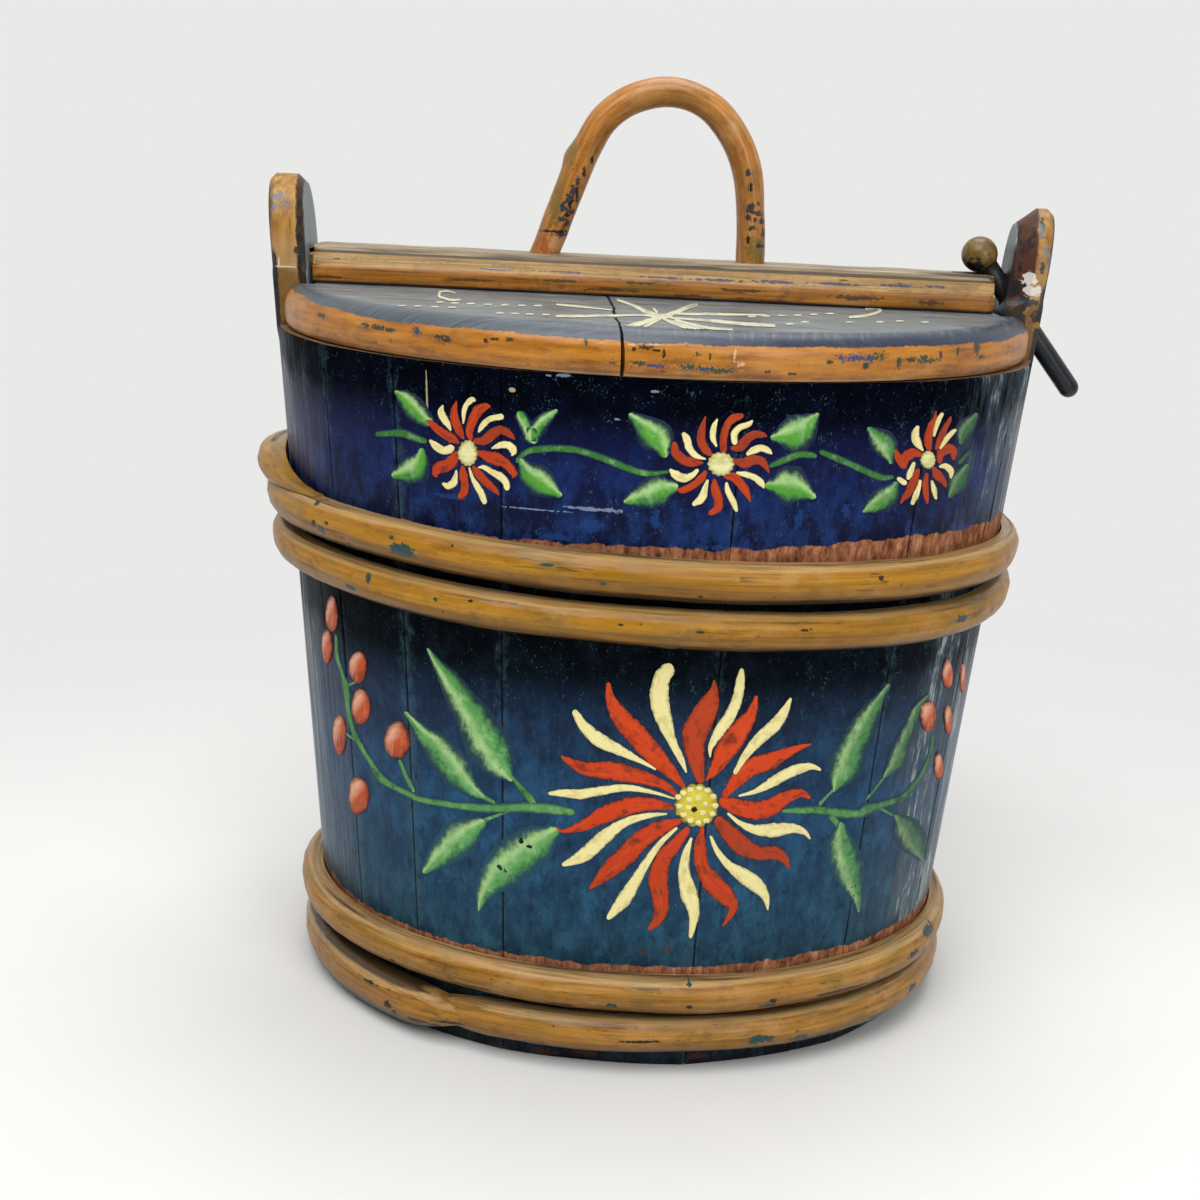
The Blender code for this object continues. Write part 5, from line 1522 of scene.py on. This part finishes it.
# Painted flowers and branches. Each stroke is a row of x, y and width in picture pixels,
# from its root to its tip, and is laid on what lies behind it.
flowers = {
    "cream": """
463 423 1.5, 463.6 412 5, 466 405 5.5, 471 400 6, 473.5 400 4
479 431 3, 482 426 6, 488 420 6, 495 417.6 6, 500.7 417 6.5
492.6 448 2, 498 446 6, 505 444.4 7.5, 511 446.7 8, 513.3 452 7, 512.5 454.4 3
478.8 467.4 2, 484 467.4 5, 492 472 6, 499.5 476 8, 505.6 482 7.5, 507 487.4 6
469 468 2, 472 478 4, 476.5 486 6, 481 493.5 7, 484 501 6.5
455.8 471 2, 455 476.6 5, 452.7 483 8, 447.4 486 7, 443.5 484.3 4
449.5 449 9, 443 450.6 8, 436 446.7 8, 430.5 441.4 4
450 430 2, 447.4 424.5 6, 443 418 8, 440.5 412 7, 442 406 2
734.4 441.6 6, 734.4 433 7, 740.8 427 6.5, 748.8 424 5.5, 752 421 2.5
748 453.6 4, 753.6 450.4 7.5, 761.6 448 7, 768 450.4 6.5, 771.5 453 3
737.6 473 3, 745.6 474.4 6, 755.2 477.6 6.5, 761.6 483 7, 764 487 3
726.4 484 3.5, 728 492 6, 732.8 501 6.5, 736 509.6 4
707.2 481 3, 704.8 489 6, 701.6 498.4 8.5, 694.4 504 5
696.8 471 4, 691.2 476 6.5, 683.2 478.4 9, 675.2 475 9, 671 471 4
704.8 459 2, 696 456 6, 689.6 449 7.5, 686.4 439 8, 684 435 5
716 445.6 2.5, 712.8 437.6 6, 713.6 428 6, 716.8 420 2.5
934 435 3, 936 427 5, 939 419.6 5.5, 942 414.5 4
941.3 447.5 3, 947 439.4 5.5, 952.3 433.5 5.5, 956 430.6 3.5
941.3 466.5 3, 947.2 466.5 6.5, 952.3 471 6.5, 952.3 477.5 2.5
932.5 482 3, 934.7 490 6, 936.6 498 3
920 481 2.5, 917.8 490 4.5, 915 497.3 6, 912.7 503 4
914.2 463.6 3.5, 910.5 474 6, 909 478 4
900.5 479.7 5, 904.6 482.6 6
922 449.6 3, 917.8 443 8, 915.6 435.7 8, 917.8 427.7 4
686 772 2, 681 760 7, 672 742 9, 664 720 17, 659 700 19, 661 682 17, 667 671 15
710 756 2, 711 746 6, 720 730 11, 730 716 12, 738 698 11, 741 680 9, 742 671 5
736 772 5, 746 756 8, 760 740 12, 776 726 13, 786 712 9, 792 700 3
740 796 2, 756 792 5, 772 784 10, 786 776 11, 800 770 10, 812 767 7, 821 770 3
729 814 3, 740 823 5, 756 830 10, 776 831 14, 794 829 10, 806 833 6, 811 839 2
711 837 3, 718 852 6, 730 866 9, 744 876 15, 758 886 15, 767 898 8, 769 910 2
691 839 3, 686 854 8, 684 874 12, 689 894 17, 694 914 11, 690.5 936 4
676 829 3, 660 844 6, 646 864 8, 634 884 12, 624 900 14, 609 918 6
666 814.5 2, 646 817 6, 624 824 9, 604 838 14, 584 856 14, 564 865 5
674 799 1.5, 652 793 4, 626 789 7, 600 792 9, 580 795 10, 564 794 8, 550 794 4
655 770 2, 640 762 5, 620 752 10, 600 742 14, 584 728 11, 575 714 7
""",
    "red": """
470 437 6, 469 430.6 8, 473.4 418 10, 478 410.7 11, 485 406.8 8, 488.5 406.4 4
475.7 441 6, 484 440.6 10, 492 434.4 11, 499.5 430 9, 506.4 432 8, 512 436.7 5, 514 439 2
478.8 453 6, 487 456 11, 496.4 459 13, 505 463 10, 510 468 9, 513.6 474 7, 513.3 476.6 3
473.4 467.4 4, 476.5 472 8, 482.6 479 9, 490.3 486 8, 495 490 6, 498.7 494.3 2
462 467.5 4, 462.7 475 9, 464.5 484 8, 463.5 492 8.5, 460.5 496 7
455.8 453.6 5, 452 460 12, 446 466 12, 438 468 12, 435 474 7, 436.3 476.6 2
457.3 443 3, 452.7 439 9, 444.3 434.4 9, 436.6 429 8, 430.5 423 6, 427.4 421 3
462.7 438 3, 459 431.4 8, 454.3 420 9, 453.5 411 7, 455.8 402 2
723.2 449.6 7, 723.5 437.6 8, 727.2 425 7.5, 733.6 418.4 8.5, 740.8 416 6
732.8 448 5, 740 447 9, 747.2 439 9.5, 755.2 434.4 8.5, 763 435 6, 766 436 3
735.2 461 5, 744 463 11, 753.6 460 10, 761.6 461 9, 766.4 466.4 6, 769.6 472 2
727.2 476 7, 734.4 477.6 10, 740.8 484 9.5, 746.4 492 8, 750.4 501 2
714.4 481.6 5, 715.2 490.4 10, 718.4 500 9, 717.6 508 8.5, 711.2 513 6
704.8 473 5, 700.8 479 8, 692.8 485.6 7.5, 683.2 490.4 7.5, 677.6 490.4 3
701.6 463 3, 692.8 463 9, 683.2 460 10, 676 453.6 10, 674.4 445 6
711.2 455 4, 704.8 449 9, 700.8 439 9, 702.4 428 6.5, 705.3 417 1.5
937 448 4, 940.6 438.7 7, 945.7 428.4 6, 950 421 4.5, 951.6 417.4 2
940.6 460.7 6, 941.3 453.3 9, 948.6 449 11, 954.5 451 9, 954.8 457.7 5
934 468.7 5, 938.4 475 10, 944.2 481 7, 946.7 486 3
926.6 474.6 4, 925.2 485.6 7.5, 926.6 496 6, 927.4 502.4 3
917.8 471 5, 914.2 481 8, 909 493 7.5, 904 499 4, 901.7 503 2
918.6 454 7, 912.7 453.3 10, 906 459 10, 905.4 466.5 5
897.3 451 3, 899.5 457.7 8, 904 465 8
928.8 448 6, 928 438.7 9, 931 427 7, 934.7 418 4, 935.7 411.5 1.5
700 779 9, 693.5 740 24, 701.5 720 25, 710 702 19, 714 690 9, 714 681 2
707 779 3, 716 768 13, 726 750 22, 738 734 22, 750 718 14, 755 706 8, 757 698 4
726 794 8, 738 780 15, 752 768 18, 770 762 18, 788 754 11, 802 748 6, 812 745 2
725 802 12, 740 808 17, 756 811 19, 772 808 18, 788 798 13, 802 794 9, 810 798 4
720 822 12, 730 834 18, 744 847 19, 760 854 14, 776 854 14, 786 860 9, 790 869 2
702 828 4, 700 846 12, 702 866 14, 712 882 20, 726 896 18, 734 908 10, 724 926 2
686 831 8, 674 846 13, 662 862 17, 658 882 20, 661 902 17, 659 918 12, 650 929 5
678 822 6, 662 828 15, 642 840 19, 624 858 20, 608 872 17, 590 889 3
671 808 6, 650 805 14, 626 808 18, 604 816 18, 584 826 12, 564 832 4, 557 829 2
675 794 5, 664 786 9, 640 778 15, 612 772 19, 586 770 14, 572 764 9, 562 758 3
683 786 5, 672 774 12, 654 756 20, 636 736 22, 620 718 19, 610 700 10, 608 686 5
""",
    "leaf": """
397.5 393 7, 403 397 16, 411 405 22, 418 413 21, 426 420 15
399 474 15, 406 472 27, 414 468 33, 419 461 24, 421 453 10
531.7 436.7 16, 521 416.8 12
532.5 433.7 18, 544 420 15, 554.7 412 6
522 463 10, 528 472 24, 538 480 32, 548 488 24, 557 494 10
632 417 9, 641 424 20, 652 434 34, 660 443 32, 663 451 15
629 501 12, 638 498 23, 650 494 32, 661 490 32, 670 488 17
777 437 12, 785 436 29, 796 434 41, 806 427 32, 814 420 17, 818 416 7
774 486 17, 783 486 37, 794 487 41, 804 491 27, 813 496 10
873 431 9, 879 437 21, 886 444 26, 890 453 20, 892 461 7
867 511 6, 875 506 18, 884 500 24, 892 493 20, 896 486 9
963 440 9, 965 432 18, 970 425 17, 977 416 7
953 494 9, 958 485 21, 963 477 21, 968 468 9
428 650 4, 438 666 12, 449 681 22, 461 700 29, 472 716 35, 484 738 44, 495 756 41, 503 769 27, 509 777 10
406 713 4, 415 724 11, 424 735 19, 434 744 26, 447 760 34, 459 776 30, 470 788 18, 480 795 10
427 869 11, 436 860 23, 446 850 33, 457 840 38, 468 832 33, 477 826 19
549 836 22, 540 842 38, 528 850 44, 514 860 46, 500 872 41, 489 885 27, 482 898 15, 479 909 4
836 789 7, 840 779 24, 848 762 33, 855 744 28, 863 727 25, 871 712 19, 880 698 11, 888 686 5
885 776 5, 892 768 14, 897 761 19, 903.5 744 17, 911 726.5 13, 919 709 11, 929 697 5
842 828 11, 842 842 27, 845 856 33, 849 870 33, 853 884 24, 857 898 14, 859 910 5
899 818 9, 905 826 26, 911 836 31, 917 847 24, 922 857 9
""",
    "stem": """
378 434 6, 401 433 9, 412 437 9, 423 441 7
518 460 6, 524 453.6 7, 535 450 8, 555 449 8, 570 450 8, 581 452 8, 597 457 8, 613 463 9, 629 469.6 8,
648 474.4 7, 669 472 3
773 465.6 6, 784 461 8, 800 455 8, 815 456 7
824 453 6, 839 459 8, 853 465 8, 868 472 8, 883 478 8, 893 477.5 5
962 462 5, 970.6 453 5
570 813 9, 550 810 13, 530 808 12, 510 808 11, 480 808 10, 450 805 8, 422 800 8, 406 793 7, 388 784 8,
378 776 10, 370 762 6, 360 746 6, 352 728 6, 348 710 6, 346 690 8, 342 674 5, 336 656 6, 335 636 3
355 740 3, 346 734 3
347 686 4, 357 681 3
413 790 5, 406 776 6, 400 762 5
509 777 7, 514 780 5, 522 790 8, 532 802 9
480 795 7, 493 802 5
477 826 14, 486 820 6, 498 815 4, 508 812 3
786 812 5, 800 811.6 8, 820 811 9, 840 813.7 11, 860 813.7 10, 867 809 12, 879 806 8, 890 802.5 8,
902 799 8, 910 792 7, 917 783 6, 924 773 5, 929 761 4, 933 747 4, 934 737 3
836 789 5, 830 795 3, 822 804 5
884 778 3, 867 799 3
833 818 8, 840 826 9
880 808 4, 899 818 4
""",
}
berries = ((331, 614, 14, 36), (325, 646, 12, 34), (357.6, 667, 17, 32), (360.4, 707, 18, 36), (338, 735, 15, 40),
           (397, 740, 26, 37), (358, 796, 20, 38), (929.4, 716, 16, 32), (948.4, 674, 10, 29), (963, 678, 5, 30),
           (948.4, 719.5, 7, 30), (939, 766, 8, 28))
discs = ((467.5, 453, 10, 13), (720.8, 464, 13, 12), (928, 460, 7.5, 9), (696.3, 805, 22, 21))
heartDots = ((678, 797), (679, 806), (683, 814), (690, 820), (698, 822), (706, 820), (712, 813), (715, 805), (713, 796),
             (707, 790), (699, 788), (690, 789), (683, 793), (689, 799), (698, 797), (705, 803), (702, 812), (688, 807))
lidStrokes = """
618 300 2.7, 632 305 3.4, 645 311 4.7, 658 316 5.4, 666 317 4.1
557 304.5 2, 575 306 2.7, 595 308 2, 612 310 1.4
557 316 2.7, 580 316 3.4, 600 315.5 2.7, 614 315.5 2.7, 640 315 2, 655 316 4.1
626 327 4.1, 636 324.5 6.1, 648 321 5.4, 660 317.5 4.1
640 329 3.4, 650 324 3.4, 660 319 2.7
664 316 4.1, 676 312 4.7, 686 308 4.7, 696 305 4.1
670 313 2.7, 690 314 2.7, 710 314 3.4, 735 314.5 2.7, 765 315 2
672 318 2.7, 695 319.5 2.7, 715 321 4.1, 735 323 4.1, 755 324.5 4.1, 774 325.5 3.4
676 320 2.7, 690 324 3.4, 710 328 3.4, 732 329.5 2
672 321 2.7, 684 325 4.1, 700 329.5 4.1, 720 333.5 2.7
664 319 2.7, 676 324 4.1, 692 330 2.7
657 312 2.7, 654 309 2.7
660 316 5.4, 670 316 5.4
440 292 2.7, 439 296 2.7, 444 298 2.7, 452 300 2.7, 460 299.5 2
441 291.5 2, 448 291 1.4, 455 293 1.4
850 317 2.7, 862 316 3.4, 874 313.5 2.7, 881 310.5 2.7, 876 308.5 2, 866 309 2
"""
# middles of the short dashes along the lid's border
lidDashes = ((440, 302), (455, 303), (471, 303.6), (488, 304.4), (505, 305), (522, 305.4), (538, 305.6),
             (402, 305.6), (418, 306), (435, 306.8), (452, 307.2), (500, 313), (515, 313.6), (530, 314), (546, 314.6),
             (752, 316.6), (766, 316), (782, 315.6), (798, 315), (814, 314.4), (830, 313.6), (790, 324), (805, 322),
             (850, 322), (880, 322), (900, 321), (925, 322))


def readStrokes(text):
    text = text.replace(",\n", ", ")  # a long stroke runs on after a comma
    return [[tuple(float(part) for part in spot.split()) for spot in row.split(",")]
            for row in text.strip().splitlines()]


# where a point of the picture lies on the wall or the lid: place, direction outwards, paint place
def onWall(x, y, out, mirrored):
    angle, z = wallHit(x, y)
    where = (arcAt(angle), z, 0.0)
    if mirrored:
        angle = -angle
    return wallSurface(angle, z, out), wallNormal(angle), where


def onLid(x, y, out, mirrored):
    drop = 0.0
    for turn in range(4):
        hit = levelHit(x, y, lid["high"] + out - drop)
        away = math.hypot((hit.x - middleX) / lid["halfLength"], hit.y / lid["halfDepth"])
        inward, down = lid["rounding"]
        setback = min(inward, max(0.0, (1 - away) * lid["halfDepth"]))
        drop = down * (1 - math.sin(math.acos(1 - setback / inward)))
    if mirrored:
        hit.y = -hit.y
    return hit, Vector((0, 0, 1)), tuple(hit)


# three more stations beyond each end, so that a stroke ends round
def roundEnds(path):
    for end in (0, 1):
        path.reverse()
        (x, y, wide), (nearX, nearY, nearWide) = path[-1], path[-2]
        size = math.hypot(x - nearX, y - nearY) or 1.0
        for share in (0.5, 0.85, 0.98):
            reach = wide / 2 * share / size
            path.append((x + (x - nearX) * reach, y + (y - nearY) * reach, wide * math.sqrt(1 - share * share)))
    return path


# closed, slightly raised stroke; its paint place has +1 on its upper left side
def strokeShape(points, surface, layer, seed, mirrored):
    path = roundEnds(smoothPath(points, 5))
    dx, dy = points[-1][0] - points[0][0], points[-1][1] - points[0][1]
    lit = 1 if dy * 0.6 - dx * 0.8 > 0 else -1
    lines = (-1.0, -0.84, -0.5, 0.0, 0.5, 0.84, 1.0)
    ridge = (0.0, 0.00016, 0.00018, 0.00014, 0.00018, 0.00016, 0.0)
    corners, places, walls, inner = [], [], [], []
    travelled = 0.0
    for index, (x, y, wide) in enumerate(path):
        before, after = path[max(index - 1, 0)], path[min(index + 1, len(path) - 1)]
        dx, dy = after[0] - before[0], after[1] - before[1]
        size = math.hypot(dx, dy) or 1.0
        travelled += math.hypot(x - before[0], y - before[1]) * 0.46
        for line, high in zip(lines, ridge):
            fray = 1 + 0.13 * lumpAt(travelled * 0.6, seed + line * 3, 1.0)
            reach = line * wide / 2 * fray / size
            point, outward, where = surface(x - dy * reach, y + dx * reach, layer + high, mirrored)
            corners.append(point)
            places.append((travelled, line * lit, seed))
            walls.append(where)
            if abs(line) < 0.99:
                inner.append((point - outward * 0.0005, places[-1], where))
    for point, place, where in inner:
        corners.append(point)
        places.append(place)
        walls.append(where)
    count, rows = len(lines), len(path)
    under, few = rows * count, count - 2
    faces = gridFaces(rows, count)
    for row in range(rows - 1):
        near, far = under + row * few, under + (row + 1) * few
        faces += [(near + step, far + step, far + step + 1, near + step + 1) for step in range(few - 1)]
        faces.append((row * count, (row + 1) * count, far, near))
        faces.append((row * count + count - 1, near + few - 1, far + few - 1, (row + 1) * count + count - 1))
    for row in (0, rows - 1):
        faces.append(tuple([row * count + step for step in range(count)]
                           + [under + row * few + step for step in reversed(range(few))]))
    return corners, faces, places, walls


# closed round dab on the wall, domed, with a scalloped edge if it has lumps
def dabShape(x, y, halfX, halfY, layer, seed, mirrored, lumps=0, dome=0.0005):
    sides, rings = 40 if halfX > 3 else 12, (1.0, 0.9, 0.7, 0.45, 0.2)
    corners, places, walls, inner = [], [], [], []
    for share in rings:
        for step in range(sides):
            turn = fullTurn * step / sides
            edge = 1 + (0.06 * math.cos(turn * lumps) if lumps else 0.03 * math.sin(turn * 3 + seed))
            point, outward, where = onWall(x + halfX * share * edge * math.cos(turn),
                                           y + halfY * share * edge * math.sin(turn),
                                           layer + dome * (1 - share ** 4), mirrored)
            corners.append(point)
            places.append((share * math.cos(turn), -share * math.sin(turn), seed))
            walls.append(where)
            if share == 1.0:
                inner.append((point - outward * 0.0005, places[-1], where))
    point, outward, where = onWall(x, y, layer + dome, mirrored)
    for corner, place, wall in [(point, (0.0, 0.0, seed), where)] + inner:
        corners.append(corner)
        places.append(place)
        walls.append(wall)
    hub = len(rings) * sides
    last, under = hub - sides, hub + 1
    faces = gridFaces(len(rings), sides, ring=True)
    faces += [(last + step, last + (step + 1) % sides, hub) for step in range(sides)]
    faces += [(step, (step + 1) % sides, under + (step + 1) % sides, under + step) for step in range(sides)]
    faces.append(tuple(under + step for step in range(sides)))
    return corners, faces, places, walls


def layPaint(name, shapes, material, body="tub", slot="blue_paint"):
    corners, faces, places, walls = [], [], [], []
    for more, over, where, wall in shapes:
        first = len(corners)
        corners += more
        places += where
        walls += wall
        faces += [tuple(first + corner for corner in face) for face in over]
    piece = addPiece(name, corners, faces, [material], body, slot, angle=60)
    note(piece, "strokePlace", places)
    note(piece, "wallPlace", walls)


layers = {"stem": 0.00004, "leaf": 0.00010, "red": 0.00016, "cream": 0.00022, "disc": 0.00036, "dot": 0.00075}
paints = {
    "stem": makeOrnamentPaint("stem_green_oil_paint", {
        "mottled": True, "dark": "#23522c", "heart": "#48803e", "light": "#86b276", "streak": 0.8,
        "levels": ((0.30, "#569052"), (0.60, "#437c40"), (0.78, "#2f6a22"), (0.9, "#2f6a22")),
        "under": ((0.30, "#1a3f57"), (0.60, "#0e1c2c"), (0.72, "#0d1646"), (0.9, "#0a1338")),
        "soft": "#2b6138", "rim": 1.26, "blur": 0.36,
        "fade": ("#142c3a", 0.120, 0.185, 0.6)}),
    "leaf": makeOrnamentPaint("leaf_green_oil_paint", {
        "mottled": True, "dark": "#2c6a36", "heart": "#4a8c44", "light": "#98c084", "streak": 0.9,
        "levels": ((0.30, "#5c9a58"), (0.60, "#57954c"), (0.78, "#4f962c"), (0.9, "#4f962c")),
        "under": ((0.30, "#1a3f57"), (0.60, "#0e1c2c"), (0.72, "#0d1646"), (0.9, "#0a1338")),
        "soft": "#2f6b36", "rim": 1.16, "blur": 0.32,
        "glint": "#b4d490", "glintFrom": (-0.60, -0.14),
        "fade": ("#142c3a", 0.112, 0.165, 0.62),
        "spots": (("#090d0d", 0.35, 1.0, ((521, 841, 5, 6), (529, 847, 6, 4))),)}),
    "red": makeOrnamentPaint("brick_red_oil_paint", {
        "dark": "#7c2a12", "heart": "#bc3a16", "light": "#d05624", "streak": 0.5, "dull": "#86341a",
        "levels": ((0.10, "#9c3614"), (0.38, "#c2390e"), (0.56, "#cc420e"), (0.78, "#ac3812")),
        "soft": "#9a3316", "edge": "#30110d", "rim": 1.40}),
    "cream": makeOrnamentPaint("cream_oil_paint", {
        "dark": "#cdbf7c", "heart": "#e6da98", "light": "#f0e8b8", "streak": 0.5,
        "soft": "#bdb27a", "edge": "#55523f", "rim": 1.44}),
    "berry": makeOrnamentPaint("berry_orange_oil_paint", {
        "round": True, "marks": (4.2, 1.0, 1), "dark": "#8c3517", "heart": "#b84e26", "light": "#d98a5e",
        "streak": 0.85, "soft": "#8a3418", "edge": "#2a1413", "rim": 1.42,
        "glint": "#e8b494", "glintFrom": (-0.62, -0.05)}),
    "disc": makeOrnamentPaint("pale_yellow_oil_paint", {
        "round": True, "marks": (2.0, 2.0, 1), "dark": "#b9b06a", "heart": "#dcd99f", "light": "#ebe8bd",
        "streak": 0.6, "soft": "#b5ab62", "edge": "#4c4a2c", "rim": 1.42,
        "spots": (("#14120c", 0.35, 1.0, ((694, 809, 5, 5),)),)}),
    "yolk": makeOrnamentPaint("chrome_yellow_oil_paint", {
        "round": True, "marks": (2.0, 2.0, 1), "dark": "#a99a26", "heart": "#cdbf3a", "light": "#ddd360",
        "streak": 0.6, "soft": "#93861f", "edge": "#332f12", "rim": 1.44,
        "spots": (("#14120c", 0.35, 1.0, ((694, 809, 6, 6),)),)}),
    "lid": makeOrnamentPaint("faded_cream_oil_paint_on_lid", {
        "dark": "#8e8f7c", "heart": "#c4c2a4", "light": "#dad8be", "streak": 0.6,
        "soft": "#8c8d7e", "edge": "#545c64", "rim": 1.38}),
}
for side in ("front", "back"):
    mirrored = side == "back"
    seed = 0.0
    for kind, text in flowers.items():
        shapes = []
        for stroke in readStrokes(text):
            seed += 1.7
            shapes.append(strokeShape(stroke, onWall, layers[kind], seed, mirrored))
        layPaint(f"painted_{kind}_strokes_{side}", shapes, paints[kind])
    shapes = [dabShape(x, y, wide / 2, tall / 2, layers["disc"], number * 2.3, mirrored)
              for number, (x, y, wide, tall) in enumerate(berries)]
    layPaint(f"painted_berries_{side}", shapes, paints["berry"])
    shapes = [dabShape(x, y, wide, tall, layers["disc"], number * 3.1, mirrored, lumps=14)
              for number, (x, y, wide, tall) in enumerate(discs)]
    layPaint(f"painted_flower_hearts_{side}", shapes[:-1], paints["disc"])
    layPaint(f"painted_great_flower_heart_{side}", shapes[-1:], paints["yolk"])
    shapes = [dabShape(x, y, 3.1, 2.9, layers["dot"], number * 1.3, mirrored, dome=0.0004)
              for number, (x, y) in enumerate(heartDots)]
    layPaint(f"painted_heart_dots_{side}", shapes, paints["cream"])
    strokes = readStrokes(lidStrokes)
    strokes += [[(x - 3.5, y, 1.5), (x, y - 0.1, 1.9), (x + 3.5, y, 1.3)] for x, y in lidDashes]
    shapes = [strokeShape(stroke, onLid, 0.00004, number * 1.9, mirrored) for number, stroke in enumerate(strokes)]
    layPaint(f"painted_star_on_lid_{side}", shapes, paints["lid"], "lid", "lid_paint")
print("flowers painted")

# Floor, light and backdrop
studio = {
    "floorTone": "#e9e9e7",
    "backTone": "#e9e9e8",
    "fill": 0.36,
    "nearFloor": 0.26,  # metres from the middle where the floor starts to turn into the backdrop
    "farFloor": 0.80,
    "lamps": (
        # name, place, aimed at, size in metres, watts
        ("key", (-0.32, -1.00, 1.60), (0, 0, 0.15), 1.3, 25.0),
        ("front", (0.70, -1.30, 0.75), (0, 0, 0.15), 0.7, 7.0),
        ("top", (0.10, 0.35, 1.60), (0, 0, 0.2), 0.9, 10.0),
    ),
}


# what the camera sees directly, in a mirror or through glass
def seenRays(tree):
    ray = addNode(tree, "LightPath")
    seen = addNode(tree, "Math", (ray.outputs["Is Camera Ray"], ray.outputs["Is Glossy Ray"]),
                   operation="MAXIMUM")
    return addNode(tree, "Math", (seen, ray.outputs["Is Transmission Ray"]), operation="MAXIMUM")


# Matt painted table, even grey-white, that fades into the backdrop
def addFloor():
    shape = bmesh.new()
    bmesh.ops.create_grid(shape, x_segments=8, y_segments=8, size=12)
    mesh = bpy.data.meshes.new("floor")
    shape.to_mesh(mesh)
    shape.free()
    floor = bpy.data.objects.new("floor", mesh)
    scene.collection.objects.link(floor)
    material, tree, shader = newMaterial("pale_matt_table")
    place = paintPlace(tree)
    speckle = addNode(tree, "TexNoise", (place, 14.0, 2.0))
    colour = addNode(tree, "ValToRGB", speckle, ((0.3, studio["floorTone"]), (0.7, "#ecebe9")))
    tree.links.new(firstOutput(colour), shader.inputs["Base Color"])
    shader.inputs["Roughness"].default_value = 0.7
    away = addNode(tree, "VectorMath", place, operation="LENGTH")
    fade = addNode(tree, "MapRange", (away.outputs["Value"], studio["nearFloor"], studio["farFloor"]),
        interpolation_type="SMOOTHSTEP")
    share = addNode(tree, "Math", (fade, seenRays(tree)), operation="MULTIPLY")
    plain = addNode(tree, "Emission", (tone(studio["backTone"]), 1.0))
    mixed = addNode(tree, "MixShader", (share, shader.outputs["BSDF"], plain))
    tree.links.new(mixed.outputs["Shader"], tree.nodes["Material Output"].inputs["Surface"])
    mesh.materials.append(material)


# Dark felt behind the camera, so that the front of the box mirrors no bright wall
def addFlag():
    shape = bmesh.new()
    bmesh.ops.create_grid(shape, x_segments=12, y_segments=12, size=1)
    for corner in shape.verts:
        x, y = corner.co.x, corner.co.y
        corner.co = Vector((x * 2.4, -2.3 + 0.7 * x * x, 0.95 + y * 0.93 + 0.02 * math.sin(x * 20)))
    mesh = bpy.data.meshes.new("dark_cloth")
    shape.to_mesh(mesh)
    shape.free()
    cloth = bpy.data.objects.new("dark_cloth", mesh)
    scene.collection.objects.link(cloth)
    material, tree, shader = newMaterial("dark_felt")
    weave = addNode(tree, "TexNoise", {"Scale": 300.0})
    colour = addNode(tree, "ValToRGB", weave, ((0.3, "#1c1c1d"), (0.7, "#2b2b2c")))
    tree.links.new(firstOutput(colour), shader.inputs["Base Color"])
    shader.inputs["Roughness"].default_value = 0.95
    mesh.materials.append(material)
    cloth.visible_camera = False


def addLamps():
    for name, place, aim, size, power in studio["lamps"]:
        lamp = bpy.data.lights.new(name, "AREA")
        lamp.energy = power
        lamp.size = size
        holder = bpy.data.objects.new(name, lamp)
        scene.collection.objects.link(holder)
        holder.location = place
        holder.rotation_euler = (Vector(aim) - Vector(place)).to_track_quat("-Z", "Y").to_euler()


def addWorld():
    world = bpy.data.worlds.new("studio")
    scene.world = world
    world.use_nodes = True
    tree = world.node_tree
    tree.nodes.clear()
    fill = addNode(tree, "Background", (tone("#ffffff"), studio["fill"]))
    back = addNode(tree, "Background", (tone(studio["backTone"]), 1.0))
    mixed = addNode(tree, "MixShader", (seenRays(tree), fill, back))
    addNode(tree, "OutputWorld", {"Surface": mixed})


addFloor()
addFlag()
addLamps()
addWorld()
scene.view_settings.view_transform = "Standard"
print("studio lit")
